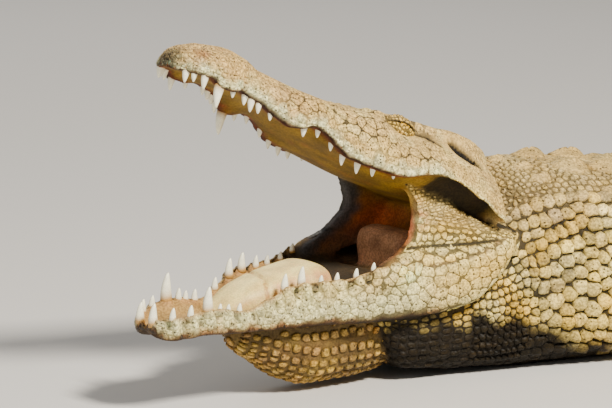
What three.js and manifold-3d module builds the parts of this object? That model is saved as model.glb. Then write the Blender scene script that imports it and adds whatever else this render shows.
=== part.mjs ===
// Nile crocodile, life size, resting on its belly with its jaws held wide open.
//
// Millimetres, +Z up. The trunk lies along X with the head towards -X, and the head is turned
// towards -Y, the animal's left. Every shape is a loft: a family of cross-sections that
// functions of a few named sizes work out, swept along the jaw, the spine or a limb.
// The body is modelled whole and then parted into its named regions by thin cuts.
import * as THREE from 'three';
import * as BufferGeometryUtils from 'three/addons/utils/BufferGeometryUtils.js';
import Module from 'manifold-3d';

const wasm = await Module();
wasm.setup();

// ---------------------------------------------------------------- driving dimensions
const HINGE_HEIGHT = 195; // jaw joint above the floor
const HEAD_YAW = THREE.MathUtils.degToRad(18); // head turned to the animal's left
const UPPER_PITCH = THREE.MathUtils.degToRad(26.7); // skull raised
const LOWER_PITCH = THREE.MathUtils.degToRad(-7.1); // mandible lowered
const UPPER_REACH = 562; // joint to the front of the premaxilla
const LOWER_REACH = 551; // joint to the tip of the mandible
const SPINE_START = -205; // front of the throat, measured along the spine from the joint
const SPINE_END = 3225; // tip of the tail
const CUT = 0.3; // width of a parting cut
const EYE = { ahead: 212, side: 52, up: 60, radius: 19 }; // place in the skull's own frame

// ---------------------------------------------------------------- colours of the regions
const hide = { color: 0x9a8a5c, roughness: 0.75, metalness: 0 };
const paleHide = { color: 0xc9b983, roughness: 0.7, metalness: 0 };
const wetHide = { color: 0x8f6f3d, roughness: 0.45, metalness: 0 };
const mouthLining = { color: 0xe0c687, roughness: 0.4, metalness: 0 };
const eyeGloss = { color: 0xa8842c, roughness: 0.1, metalness: 0 };

// ---------------------------------------------------------------- profiles
// Each profile is a smooth curve through [position, value] knots. Positions on the skull and
// the mandible run backwards from the snout; positions on the body run back from the joint.
const SKULL = {
  front: -13,
  back: 520,
  halfWidth: [[-13, 2], [-10, 12], [-4, 24], [6, 37], [25, 51], [50, 60], [72, 59], [90, 53],
    [108, 56], [130, 66], [160, 79], [195, 87], [230, 90], [310, 110], [400, 128], [490, 143],
    [508, 143], [520, 136]],
  lip: [[-13, 0], [14, 7], [34, 9], [42, 2], [60, 3], [84, 10], [112, 8], [135, -1], [159, -6],
    [174, -3], [188, 6], [203, 7], [222, 2], [260, -10], [320, -7], [345, -1], [375, 14],
    [397, 20], [436, 15], [482, 4], [500, -2], [520, 0]],
  crown: [[-13, 4], [-9, 22], [2, 34], [18, 43], [45, 55], [70, 61], [88, 60], [110, 54],
    [165, 54], [235, 58], [300, 69], [350, 74], [400, 83], [440, 91], [490, 94], [508, 92],
    [520, 80]],
  ridgeSide: [[-13, 1], [0, 16], [40, 26], [120, 28], [200, 36], [280, 40], [330, 46],
    [370, 52], [410, 60], [450, 64], [495, 62], [520, 54]],
  ridgeDrop: [[-13, 2], [30, 5], [100, 5], [200, 4], [280, 3], [318, -2], [345, -7], [380, -6],
    [410, -3], [470, -2], [500, 3], [520, 6]],
  ridgeStep: [[-13, 0], [290, 0], [330, 9], [370, 13], [400, 12], [430, 15], [495, 16],
    [520, 8]],
  roundness: [[-13, 2], [60, 2.2], [250, 2.1], [330, 1.7], [400, 1.45], [520, 1.35]],
  palate: [[-13, 3], [30, 10], [180, 8], [230, -2], [300, -12], [360, -18], [420, -14],
    [520, -8]],
};
const MANDIBLE = {
  back: 575,
  halfWidth: [[0, 3], [3, 16], [10, 30], [24, 42], [45, 51], [62, 55], [85, 54], [105, 56],
    [150, 63], [200, 75], [300, 97], [400, 119], [460, 133], [505, 139], [535, 128],
    [560, 100], [575, 70]],
  rim: [[0, -4], [13, 3], [40, 2], [66, 5], [96, -2], [128, -11], [159, -4], [200, 8],
    [254, 2], [281, 0], [330, 6], [360, 4], [391, -8], [435, -10], [482, -4], [520, 2],
    [575, 0]],
  keel: [[0, -10], [6, -22], [15, -29], [60, -31], [95, -38], [156, -48], [239, -60],
    [312, -73], [400, -81], [455, -79], [495, -58], [530, -32], [560, -20], [575, -12]],
};
// The cheek is a fan of skin and muscle round the joint. Its position runs from 0 at the
// mandible to 1 at the skull, and its lengths are measured from the joint.
const CHEEK = {
  core: 6,
  edge: [[-0.2, 240], [0, 222], [0.12, 182], [0.3, 152], [0.55, 142], [0.8, 150], [1, 172],
    [1.2, 186]],
  inset: [[-0.2, 0], [0.15, 1], [0.5, 5], [0.8, 16], [1, 24], [1.2, 26]],
  throat: [[-0.2, 140], [0, 120], [0.3, 92], [0.7, 88], [1.2, 100]],
  outside: [[0, 130], [60, 130], [110, 112], [150, 98], [190, 98], [240, 94]],
  inside: [[80, 58], [110, 66], [150, 74], [190, 78], [240, 76]],
};
const BODY = {
  halfWidth: [[-205, 40], [-195, 62], [-170, 80], [-100, 98], [-40, 118], [0, 134], [60, 158],
    [120, 180], [170, 192], [300, 208], [450, 222], [700, 240], [1000, 246], [1200, 216],
    [1330, 172], [1450, 136], [1700, 104], [2000, 78], [2400, 50], [2800, 28], [3100, 14],
    [3225, 4]],
  back: [[-205, 110], [-170, 130], [-100, 150], [-40, 190], [0, 240], [30, 262], [60, 270],
    [110, 272], [160, 266], [210, 262], [250, 255], [300, 249], [400, 262], [550, 300],
    [800, 332], [1000, 336], [1200, 312], [1330, 282], [1450, 248], [1700, 205], [2000, 166],
    [2400, 122], [2800, 80], [3100, 44], [3225, 10]],
  belly: [[-205, 95], [-195, 70], [-180, 40], [-165, 22], [-130, 13], [-60, 8], [20, 0],
    [3225, 0]],
};
const POUCH = {
  back: 112,
  front: 412,
  bottom: [[112, 62], [120, 50], [142, 28], [172, 14], [210, 8], [290, 8], [330, 20], [368, 46],
    [400, 68], [412, 85]],
  top: [[112, 72], [150, 118], [250, 128], [400, 128], [412, 100]],
  halfWidth: [[112, 8], [120, 24], [142, 42], [175, 54], [230, 58], [300, 54], [360, 42],
    [400, 24], [412, 8]],
};
const TONGUE = {
  front: 104,
  back: 292,
  halfWidth: [[104, 6], [112, 20], [150, 34], [200, 42], [260, 48], [285, 44], [292, 30]],
  top: [[104, -16], [118, -8], [160, 8], [220, 13], [270, 12], [288, 4], [292, -4]],
  bottom: -32,
};
const THROAT_VALVE = {
  front: 356,
  back: 470,
  halfWidth: [[356, 20], [370, 48], [400, 62], [470, 66]],
  top: [[356, -25], [362, 0], [375, 26], [392, 37], [412, 38], [440, 20], [470, -20]],
  bottom: -38,
};

// ---------------------------------------------------------------- teeth
// [distance back from the snout, height on the left side, height on the right side]
const UPPER_TEETH = [[-2, 14, 14], [8, 11, 12], [23, 17, 14], [46, 26, 15], [69, 8, 8],
  [94, 13, 10], [105, 17, 12], [116, 13, 13], [133, 8, 12], [157, 0, 28], [181, 12, 9],
  [203, 10, 10], [232, 9, 10], [255, 12, 10], [279, 14, 12], [302, 10, 10], [333, 5, 6]];
const LOWER_TEETH = [[6, 23, 20], [24, 13, 14], [46, 13, 12], [72, 29, 33], [91, 7, 13],
  [103, 7, 10], [119, 10, 13], [158, 0, 13], [188, 18, 20], [213, 21, 20], [241, 7, 12],
  [264, 8, 9], [292, 8, 6], [318, 6, 6]];

// ---------------------------------------------------------------- limbs
// Limbs are measured on the straight trunk: each arm is a list of stations
// [back along the trunk, out from the mid-line, height, half-width, half-height]. bend is the
// station of the elbow or knee, and joint is where the wrist or ankle parts the foot.
const LIMBS = {
  front: {
    arm: [[440, 120, 160, 66, 74], [470, 190, 140, 60, 66], [515, 262, 104, 48, 50],
      [530, 320, 66, 40, 42], [500, 362, 50, 37, 36], [440, 396, 38, 32, 30],
      [392, 418, 26, 31, 22], [352, 430, 17, 40, 17]],
    bend: 3.05,
    joint: { at: [386, 418], towards: [-1, 0.25] },
    palm: { at: [345, 431], length: 62, halfWidth: 42, thick: 17 },
    toes: [[250, 372, 11], [232, 408, 12], [226, 446, 12], [250, 486, 10], [286, 512, 9]],
    clawed: 3,
  },
  hind: {
    arm: [[1250, 96, 150, 92, 96], [1215, 190, 140, 84, 86], [1172, 290, 116, 64, 64],
      [1166, 352, 80, 52, 54], [1225, 396, 58, 48, 44], [1296, 432, 42, 40, 36],
      [1330, 462, 28, 36, 25], [1318, 500, 19, 44, 19]],
    bend: 3.05,
    joint: { at: [1325, 450], towards: [-0.1, 1] },
    palm: { at: [1308, 512], length: 96, halfWidth: 50, thick: 19 },
    toes: [[1150, 540, 13], [1146, 600, 14], [1178, 652, 13], [1238, 682, 11]],
    clawed: 3,
  },
};

// ---------------------------------------------------------------- scutes that stand proud
const WHORL_PITCH = 52; // length of one ring of tail scales at the tail base
const CREST_START = 1330; // the double crest begins over the hips
const DOUBLE_SHARE = 0.52; // share of the tail that carries two crests before they meet

// ---------------------------------------------------------------- curve and step
// Cubic Hermite curve through the knots, with tangents that never overshoot a knot.
function curve(knots, x) {
  const n = knots.length;
  const at = THREE.MathUtils.clamp(x, knots[0][0], knots[n - 1][0]);
  let i = 0;
  while (i < n - 2 && at > knots[i + 1][0]) {
    i += 1;
  }
  const slope = (k) => (knots[k + 1][1] - knots[k][1]) / (knots[k + 1][0] - knots[k][0]);
  const tangent = (k) => {
    if (k === 0) {
      return slope(0);
    }
    if (k === n - 1) {
      return slope(n - 2);
    }
    const before = slope(k - 1);
    const after = slope(k);
    return before * after > 0 ? (2 * before * after) / (before + after) : 0;
  };
  const h = knots[i + 1][0] - knots[i][0];
  const t = (at - knots[i][0]) / h;
  const t2 = t * t;
  const t3 = t2 * t;
  return (2 * t3 - 3 * t2 + 1) * knots[i][1] + (t3 - 2 * t2 + t) * h * tangent(i)
    + (3 * t2 - 2 * t3) * knots[i + 1][1] + (t3 - t2) * h * tangent(i + 1);
}

const ramp = THREE.MathUtils.smoothstep; // ramp(x, from, to)
const signedPower = (v, p) => Math.sign(v) * Math.abs(v) ** p;
const range = (count) => Array.from({ length: count }, (_, i) => i);
const spread = (count) => range(count).map((i) => i / (count - 1));

// ---------------------------------------------------------------- frames
// The head's frame has its origin at the joint: ahead to the snout, side to the animal's left.
const HEAD_AHEAD = new THREE.Vector3(-Math.cos(HEAD_YAW), -Math.sin(HEAD_YAW), 0);
const HEAD_LEFT = new THREE.Vector3(Math.sin(HEAD_YAW), -Math.cos(HEAD_YAW), 0);
const WORLD_UP = new THREE.Vector3(0, 0, 1);

function headPoint(ahead, side, up, pitch) {
  const forward = HEAD_AHEAD.clone().multiplyScalar(Math.cos(pitch))
    .addScaledVector(WORLD_UP, Math.sin(pitch));
  const lift = WORLD_UP.clone().multiplyScalar(Math.cos(pitch))
    .addScaledVector(HEAD_AHEAD, -Math.sin(pitch));
  return new THREE.Vector3(0, 0, HINGE_HEIGHT)
    .addScaledVector(forward, ahead)
    .addScaledVector(HEAD_LEFT, side)
    .addScaledVector(lift, up);
}

// The spine leaves the head at its yaw, straightens over the neck and swings in the tail.
function spineHeading(s) {
  const neck = HEAD_YAW * (1 - ramp(s, 40, 430));
  const swing = THREE.MathUtils.degToRad(24) * ramp(s, 1250, 2050);
  const recurve = THREE.MathUtils.degToRad(58) * ramp(s, 1950, 3100);
  return neck + swing - recurve;
}

const SPINE_STEP = 5;
const SPINE_BEFORE = -240;
function buildSpine() {
  const points = [];
  let x = 0;
  let y = 0;
  for (let s = SPINE_BEFORE; s <= SPINE_END + SPINE_STEP; s += SPINE_STEP) {
    points.push([x, y]);
    const heading = spineHeading(s + SPINE_STEP / 2);
    x += Math.cos(heading) * SPINE_STEP;
    y += Math.sin(heading) * SPINE_STEP;
  }
  const [x0, y0] = points[-SPINE_BEFORE / SPINE_STEP];
  return points.map(([px, py]) => [px - x0, py - y0]);
}
const SPINE = buildSpine();

// A point beside the spine: s back from the joint, side to the animal's left, z above floor.
function spinePoint(s, side, z) {
  const f = (s - SPINE_BEFORE) / SPINE_STEP;
  const i = THREE.MathUtils.clamp(Math.floor(f), 0, SPINE.length - 2);
  const t = f - i;
  const x = SPINE[i][0] + (SPINE[i + 1][0] - SPINE[i][0]) * t;
  const y = SPINE[i][1] + (SPINE[i + 1][1] - SPINE[i][1]) * t;
  const heading = spineHeading(s);
  return new THREE.Vector3(x + Math.sin(heading) * side, y - Math.cos(heading) * side, z);
}

// ---------------------------------------------------------------- solids
function solidFrom(vertices, triangles) {
  const build = (tris) => new wasm.Manifold(new wasm.Mesh({
    numProp: 3,
    vertProperties: new Float32Array(vertices.flatMap((v) => [v.x, v.y, v.z])),
    triVerts: new Uint32Array(tris.flat()),
  }));
  const volume = triangles.reduce((sum, [a, b, c]) => sum
    + vertices[a].dot(new THREE.Vector3().crossVectors(vertices[b], vertices[c])), 0);
  return build(volume > 0 ? triangles : triangles.map(([a, b, c]) => [a, c, b]));
}

// Triangles that fill a ring and turn the same way round as the ring itself.
function capFaces(ring) {
  const outline = ring.map(([a, b]) => new THREE.Vector2(a, b));
  const faces = THREE.ShapeUtils.triangulateShape(outline, []);
  const faceArea = THREE.ShapeUtils.area(faces[0].map((i) => outline[i]));
  const sameTurn = faceArea * THREE.ShapeUtils.area(outline) > 0;
  return sameTurn ? faces : faces.map(([a, b, c]) => [a, c, b]);
}

// Closed loft: each section is a ring of flat [a, b] pairs, and place puts them in space.
function loft(positions, section, place) {
  const rings = positions.map((p) => section(p));
  const count = rings[0].length;
  const vertices = rings.flatMap((ring, k) => ring.map(([a, b]) => place(positions[k], a, b)));
  const triangles = [];
  for (let k = 0; k < rings.length - 1; k += 1) {
    for (let i = 0; i < count; i += 1) {
      const j = (i + 1) % count;
      const near = k * count;
      const far = near + count;
      triangles.push([near + i, near + j, far + j], [near + i, far + j, far + i]);
    }
  }
  const last = (rings.length - 1) * count;
  capFaces(rings[0]).forEach(([a, b, c]) => triangles.push([a, c, b]));
  capFaces(rings[rings.length - 1])
    .forEach(([a, b, c]) => triangles.push([last + a, last + b, last + c]));
  return solidFrom(vertices, triangles);
}

const join = (solids) => wasm.Manifold.union(solids);

// The one main body of a cut: slivers and closed pockets that a join leaves are dropped.
const WELD = 0.1; // edges shorter than this are closed up
const mainBody = (solid) => solid.simplify(WELD).decompose()
  .reduce((best, piece) => (piece.volume() > best.volume() ? piece : best));

// The half of space on the side of the normal, beyond half a parting cut.
const SPACE = 9000;
function halfSpace(point, normal) {
  const n = normal.clone().normalize();
  const box = new THREE.BoxGeometry(SPACE, SPACE, SPACE);
  box.deleteAttribute('normal');
  box.deleteAttribute('uv');
  const merged = BufferGeometryUtils.mergeVertices(box);
  const turn = new THREE.Quaternion().setFromUnitVectors(WORLD_UP, n);
  merged.applyQuaternion(turn);
  const middle = point.clone().addScaledVector(n, SPACE / 2 + CUT / 2);
  merged.translate(middle.x, middle.y, middle.z);
  return new wasm.Manifold(new wasm.Mesh({
    numProp: 3,
    vertProperties: new Float32Array(merged.attributes.position.array),
    triVerts: new Uint32Array(merged.index.array),
  }));
}

// Parts a solid at a plane and gives [the side of the normal, the other side].
function part(solid, point, normal) {
  return [
    solid.intersect(halfSpace(point, normal)),
    solid.intersect(halfSpace(point, normal.clone().negate())),
  ];
}

// ---------------------------------------------------------------- skull
function skullTop(t, side) {
  const width = curve(SKULL.halfWidth, t);
  const lip = curve(SKULL.lip, t);
  const crown = curve(SKULL.crown, t);
  const ridge = curve(SKULL.ridgeSide, t);
  const ridgeTop = crown - curve(SKULL.ridgeDrop, t);
  const ridgeStep = curve(SKULL.ridgeStep, t);
  const power = curve(SKULL.roundness, t);
  const away = Math.abs(side);
  if (away <= ridge) {
    return crown + (ridgeTop - crown) * (away / ridge) ** 2;
  }
  const out = Math.min((away - ridge) / (width - ridge), 1);
  const flank = (1 - out ** power) ** (1 / power);
  return lip + (ridgeTop - ridgeStep - lip) * flank
    + ridgeStep * Math.exp(-(((away - ridge) / 7) ** 2));
}

function skullUnder(t, side) {
  const width = curve(SKULL.halfWidth, t);
  const lip = curve(SKULL.lip, t);
  const inner = Math.max(width - 13, 0.5);
  const fill = 1 - Math.min(Math.abs(side) / inner, 1) ** 3;
  const middle = Math.min(curve(SKULL.palate, t), curve(SKULL.crown, t) - 6);
  return lip + (middle - lip) * fill;
}

const RIDGE_SHARE = 0.62; // share of the section's samples that lie outside the ridge
function skullSection(t) {
  const width = curve(SKULL.halfWidth, t);
  const ridge = curve(SKULL.ridgeSide, t);
  const half = spread(7).map((s) => {
    const out = Math.min(s / RIDGE_SHARE, 1);
    return s < RIDGE_SHARE
      ? width - (width - ridge) * (1 - Math.cos((Math.PI / 2) * out))
      : ridge * (1 - (s - RIDGE_SHARE) / (1 - RIDGE_SHARE));
  });
  const sides = [...half, ...half.slice(0, -1).reverse().map((v) => -v)];
  const under = spread(6).slice(1, -1).map((q) => -width * Math.cos(Math.PI * q));
  return [
    ...sides.map((y) => [y, skullTop(t, y)]),
    ...under.map((y) => [y, skullUnder(t, y)]),
  ];
}

function skull() {
  const stations = spread(24).map((u) => SKULL.front + (SKULL.back - SKULL.front) * u ** 1.25);
  return loft(stations, skullSection,
    (t, side, up) => headPoint(UPPER_REACH - t, side, up, UPPER_PITCH));
}

// ---------------------------------------------------------------- mandible
// A trough: the two rami stand as walls beside the floor of the mouth.
function mandibleSection(t) {
  const width = curve(MANDIBLE.halfWidth, t);
  const rim = curve(MANDIBLE.rim, t);
  const keel = curve(MANDIBLE.keel, t);
  const inner = Math.max(width - 15, 0.4 * width);
  const depth = rim - keel;
  const floor = rim - Math.min(24, 0.5 * depth);
  const right = [
    [0.6 * inner, floor + 1],
    [inner, rim - 0.1 * depth],
    [width - Math.min(5, 0.2 * width), rim],
    [width, rim - 0.3 * depth],
    [width * 0.98, keel + 0.25 * depth],
    [width * 0.8, keel],
  ];
  const left = right.map(([y, z]) => [-y, z]).reverse();
  return [[0, floor], ...right, [0, keel + 0.1 * depth], ...left];
}

function mandible() {
  const stations = spread(20).map((u) => MANDIBLE.back * u ** 1.2);
  return loft(stations, mandibleSection,
    (t, side, up) => headPoint(LOWER_REACH - t, side, up, LOWER_PITCH));
}

// ---------------------------------------------------------------- cheeks
// Horseshoe slices fanned round the joint, open to the front as the corner of the mouth.
function cheekSection(fan) {
  const edge = curve(CHEEK.edge, fan);
  const inset = curve(CHEEK.inset, fan);
  const throat = curve(CHEEK.throat, fan);
  const outer = spread(5).map((p) => {
    const reach = CHEEK.core + (edge - CHEEK.core) * p;
    return [reach, curve(CHEEK.outside, reach) - inset * ramp(reach, 0, 60)];
  });
  const inner = spread(4).map((p) => {
    const reach = edge + (throat - edge) * p;
    return [reach, curve(CHEEK.inside, reach) - 0.6 * inset];
  });
  const rimReach = edge + (outer[4][1] - inner[0][1]) * 0.4;
  const rim = [rimReach, (outer[4][1] + inner[0][1]) / 2];
  const left = [...outer, rim, ...inner];
  return [...left, ...left.map(([reach, side]) => [reach, -side]).reverse()];
}

function cheeks() {
  const gape = UPPER_PITCH - LOWER_PITCH;
  const low = -0.1 / gape;
  const high = 1 + 0.12 / gape;
  const fans = spread(7).map((u) => low + (high - low) * u);
  return loft(fans, cheekSection, (fan, reach, side) => {
    const angle = LOWER_PITCH + gape * fan;
    return headPoint(reach * Math.cos(angle), side, reach * Math.sin(angle), 0);
  });
}

// ---------------------------------------------------------------- soft forms under the jaw
function ovalSection(halfWidth, top, bottom, count, squareness = 0.8) {
  const middle = (top + bottom) / 2;
  const half = (top - bottom) / 2;
  return range(count).map((i) => {
    const angle = (2 * Math.PI * i) / count;
    return [
      halfWidth * signedPower(Math.cos(angle), squareness),
      middle + half * signedPower(Math.sin(angle), squareness),
    ];
  });
}

function pouch() {
  const stations = spread(8).map((u) => POUCH.back + (POUCH.front - POUCH.back) * u);
  return loft(
    stations,
    (x) => ovalSection(curve(POUCH.halfWidth, x), curve(POUCH.top, x), curve(POUCH.bottom, x), 10),
    (x, side, z) => headPoint(x, side, z - HINGE_HEIGHT, 0),
  );
}

function mouthPad(shape, count, segments) {
  const stations = spread(count).map((u) => shape.front + (shape.back - shape.front) * u);
  return loft(
    stations,
    (t) => ovalSection(curve(shape.halfWidth, t), curve(shape.top, t), shape.bottom, segments),
    (t, side, up) => headPoint(LOWER_REACH - t, side, up, LOWER_PITCH),
  );
}

// ---------------------------------------------------------------- body
const BODY_SEGMENTS = 14;
function bodyPoint(s, angle, grow) {
  const width = curve(BODY.halfWidth, s) + grow;
  const back = curve(BODY.back, s) + grow;
  const belly = Math.max(curve(BODY.belly, s) - grow, -grow);
  const waist = belly + (back - belly) * 0.42;
  const round = 0.82 + 0.12 * ramp(s, 1350, 1900);
  const side = width * signedPower(Math.cos(angle), round);
  const rise = Math.abs(Math.sin(angle));
  const z = Math.sin(angle) >= 0
    ? waist + (back - waist) * rise ** 0.92
    : Math.max(waist - (waist - belly + 12) * rise ** 0.62, belly);
  return [side, z];
}

function body(grow = 0) {
  const throat = spread(7).map((u) => SPINE_START + (60 - SPINE_START) * u ** 1.3);
  const rest = spread(31).slice(1).map((u) => 60 + (SPINE_END - 60) * u ** 0.94);
  return loft(
    [...throat, ...rest],
    (s) => range(BODY_SEGMENTS)
      .map((i) => bodyPoint(s, (2 * Math.PI * i) / BODY_SEGMENTS, grow)),
    spinePoint,
  );
}

// ---------------------------------------------------------------- keels and crests
// A pyramid on a diamond base, sunk a little into the back, its tip leaning to the rear.
function keel(s, angle, length, halfWidth, height) {
  const surface = (at, turn) => {
    const [side, z] = bodyPoint(at, turn, 0);
    return spinePoint(at, side, z);
  };
  const foot = surface(s, angle);
  const along = surface(s + 5, angle).sub(surface(s - 5, angle)).normalize();
  const across = surface(s, angle + 0.03).sub(surface(s, angle - 0.03)).normalize();
  const normal = new THREE.Vector3().crossVectors(across, along).normalize();
  if (normal.z < 0) {
    normal.negate();
  }
  const sink = 4;
  const base = foot.clone().addScaledVector(normal, -sink);
  const vertices = [
    base.clone().addScaledVector(along, -length / 2),
    base.clone().addScaledVector(across, halfWidth),
    base.clone().addScaledVector(along, length / 2),
    base.clone().addScaledVector(across, -halfWidth),
    foot.clone().addScaledVector(normal, height).addScaledVector(along, length * 0.2),
  ];
  return solidFrom(vertices, [[0, 1, 4], [1, 2, 4], [2, 3, 4], [3, 0, 4], [0, 3, 2], [0, 2, 1]]);
}

const TOP = Math.PI / 2;
const NAPE = TOP - 0.07; // the nape's scutes sit a little to the left in the turned neck
const keelPair = (s, turn, length, halfWidth, height) => [NAPE + turn, NAPE - turn]
  .map((angle) => keel(s, angle, length, halfWidth, height));

function backKeels() {
  const keels = [];
  // four nuchal scutes in a block, one more on each side, and the small row behind the skull
  [150, 218].forEach((s) => keels.push(...keelPair(s, 0.18, 62, 22, 16)));
  keels.push(...keelPair(186, 0.62, 58, 19, 14));
  [0.12, 0.36].forEach((turn) => keels.push(...keelPair(76, turn, 36, 13, 9)));
  return keels;
}

function tailCrest() {
  const keels = [];
  let s = CREST_START + WHORL_PITCH;
  while (s < SPINE_END - 60) {
    const along = (s - CREST_START) / (SPINE_END - CREST_START);
    const pitch = WHORL_PITCH * (1 - 0.42 * along);
    if (along < DOUBLE_SHARE) {
      const turn = 0.62 - 0.85 * along;
      const height = 14 + 40 * along;
      keels.push(keel(s, TOP + turn, pitch * 1.05, 9, height));
      keels.push(keel(s, TOP - turn, pitch * 1.05, 9, height));
    } else {
      const past = (along - DOUBLE_SHARE) / (1 - DOUBLE_SHARE);
      keels.push(keel(s, TOP, pitch * 1.05, 7, 40 - 26 * past));
    }
    s += pitch;
  }
  return keels;
}

// ---------------------------------------------------------------- teeth
const TOOTH_SIDES = 4;
function tooth(root, axis, lean, height, radius) {
  const turn = new THREE.Quaternion().setFromUnitVectors(WORLD_UP, axis);
  const ring = range(TOOTH_SIDES).map((i) => {
    const angle = (2 * Math.PI * i) / TOOTH_SIDES;
    return new THREE.Vector3(radius * Math.cos(angle), radius * Math.sin(angle), 0)
      .applyQuaternion(turn).add(root);
  });
  const tip = root.clone().addScaledVector(axis, height).addScaledVector(lean, height * 0.18);
  const inRoot = root.clone().addScaledVector(axis, -radius);
  const triangles = range(TOOTH_SIDES).flatMap((i) => {
    const j = (i + 1) % TOOTH_SIDES;
    return [[i, j, TOOTH_SIDES], [j, i, TOOTH_SIDES + 1]];
  });
  return solidFrom([...ring, tip, inRoot], triangles);
}

// Roots sit just inside the lip, deeper inside it towards the back of the row.
const TOOTH_ROOT = 5; // how far the tooth's solid starts inside the gum
function toothRow(teeth, reach, pitch, width, edge, inset, pointing) {
  const origin = headPoint(0, 0, 0, pitch);
  const axis = headPoint(0, 0, pointing, pitch).sub(origin);
  const lean = headPoint(pointing, 0, 0, pitch).sub(origin).negate();
  return teeth.flatMap(([t, leftHeight, rightHeight]) => {
    const side = Math.max(curve(width, t) - inset(t), 6);
    const up = curve(edge, t) - pointing * TOOTH_ROOT;
    return [[side, leftHeight], [-side, rightHeight]]
      .filter(([, height]) => height > 0)
      .map(([y, height]) => tooth(headPoint(reach - t, y, up, pitch), axis, lean,
        height + TOOTH_ROOT, 2.2 + 0.14 * height));
  });
}

const upperTeeth = () => toothRow(UPPER_TEETH, UPPER_REACH, UPPER_PITCH, SKULL.halfWidth,
  SKULL.lip, (t) => 8 + 10 * ramp(t, 130, 300), -1);
const lowerTeeth = () => toothRow(LOWER_TEETH, LOWER_REACH, LOWER_PITCH, MANDIBLE.halfWidth,
  MANDIBLE.rim, (t) => 9 + 5 * ramp(t, 120, 240), 1);

// ---------------------------------------------------------------- limbs
// A point beside the trunk, whose axis is carried on straight past shoulder and hip.
const TRUNK_MIDDLE = 900;
function trunkPoint(s, side, z) {
  return spinePoint(TRUNK_MIDDLE, side, z).add(new THREE.Vector3(s - TRUNK_MIDDLE, 0, 0));
}

const flatten = (v) => new THREE.Vector3(v.x, v.y, Math.max(v.z, 0));

// A tapering tube along stations [back, out, height, half-width, half-height].
function limbTube(stations, side, segments) {
  const centres = stations.map(([s, out, z]) => trunkPoint(s, side * out, z));
  const frames = centres.map((centre, k) => {
    const before = centres[Math.max(k - 1, 0)];
    const after = centres[Math.min(k + 1, centres.length - 1)];
    const along = after.clone().sub(before).normalize();
    const across = new THREE.Vector3().crossVectors(WORLD_UP, along).normalize();
    const lift = new THREE.Vector3().crossVectors(along, across).normalize();
    return { centre, across, lift };
  });
  return loft(
    range(stations.length),
    (k) => ovalSection(stations[k][3], stations[k][4], -stations[k][4], segments, 0.92),
    (k, a, b) => flatten(frames[k].centre.clone()
      .addScaledVector(frames[k].across, a)
      .addScaledVector(frames[k].lift, b)),
  );
}

function between(from, to, t) {
  return from.map((v, i) => v + (to[i] - v) * t);
}

// A toe bows up from the palm to its knuckle, then comes down to a claw on the floor.
function toe(palmAt, [s, out, radius], side, hasClaw) {
  const profile = [[0.4, 16, 1.3], [0.75, 12, 1]];
  const end = hasClaw ? [[1.16, 2, 0.1]] : [[1.03, 5, 0.35]];
  const stations = [...profile, ...end].map(([t, z, share]) => {
    const [ps, po] = between(palmAt, [s, out], t);
    return [ps, po, z, radius * share, Math.min(radius * share, z + 5)];
  });
  return limbTube(stations, side, 5);
}

function limb(spec, side) {
  const { palm } = spec;
  const middleToe = spec.toes[Math.floor(spec.toes.length / 2)];
  const towards = [middleToe[0] - palm.at[0], middleToe[1] - palm.at[1]];
  const run = Math.hypot(...towards);
  const palmStations = [[-0.3, 0.62], [0.1, 1], [0.7, 1.1], [1, 0.75]]
    .map(([t, share]) => [
      palm.at[0] + (towards[0] / run) * palm.length * t,
      palm.at[1] + (towards[1] / run) * palm.length * t,
      palm.thick * 0.8,
      palm.halfWidth * share,
      palm.thick * (1.05 - 0.35 * Math.max(t, 0)),
    ]);
  const toes = spec.toes.map((tip, i) => toe(palm.at, tip, side, i < spec.clawed));
  return join([limbTube(spec.arm, side, 9), limbTube(palmStations, side, 6), ...toes]);
}

// The plane square to the limb at its elbow or knee.
function bendPlane(spec, side) {
  const k = Math.floor(spec.bend);
  const [a, b] = [spec.arm[k], spec.arm[k + 1]]
    .map(([s, out, z]) => trunkPoint(s, side * out, z));
  return [a.clone().lerp(b, spec.bend - k), b.clone().sub(a)];
}

// The upright plane at the wrist or ankle.
function jointPlane(spec, side) {
  const [[s, out], [back, outwards]] = [spec.joint.at, spec.joint.towards];
  const here = trunkPoint(s, side * out, 0);
  return [here, trunkPoint(s + back, side * (out + outwards), 0).sub(here)];
}

// ---------------------------------------------------------------- eyes
function eyeball(side, radius) {
  const ball = new THREE.SphereGeometry(radius, 8, 6);
  ball.deleteAttribute('normal');
  ball.deleteAttribute('uv');
  const merged = BufferGeometryUtils.mergeVertices(ball);
  const centre = headPoint(EYE.ahead, side * EYE.side, EYE.up, UPPER_PITCH);
  merged.translate(centre.x, centre.y, centre.z);
  return new wasm.Manifold(new wasm.Mesh({
    numProp: 3,
    vertProperties: new Float32Array(merged.attributes.position.array),
    triVerts: new Uint32Array(merged.index.array),
  }));
}

// ---------------------------------------------------------------- parting into named nodes
const crocodile = new THREE.Group();

function addNode(name, solid, material) {
  const { vertProperties, triVerts } = mainBody(solid).getMesh();
  const geometry = new THREE.BufferGeometry();
  geometry.setAttribute('position', new THREE.BufferAttribute(new Float32Array(vertProperties), 3));
  geometry.setIndex(new THREE.BufferAttribute(new Uint32Array(triVerts), 1));
  const mesh = new THREE.Mesh(geometry, new THREE.MeshStandardMaterial(material));
  mesh.name = name;
  crocodile.add(mesh);
}

const sides = [['left', 1], ['right', -1]];
const trunkLine = body();
const sockets = join(sides.map(([, side]) => eyeball(side, EYE.radius + CUT)));
const whole = join([skull(), mandible(), cheeks(), mouthPad(THROAT_VALVE, 5, 8), pouch(),
  trunkLine, ...backKeels(), ...tailCrest(), ...upperTeeth(), ...lowerTeeth()])
  .subtract(sockets);

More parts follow.
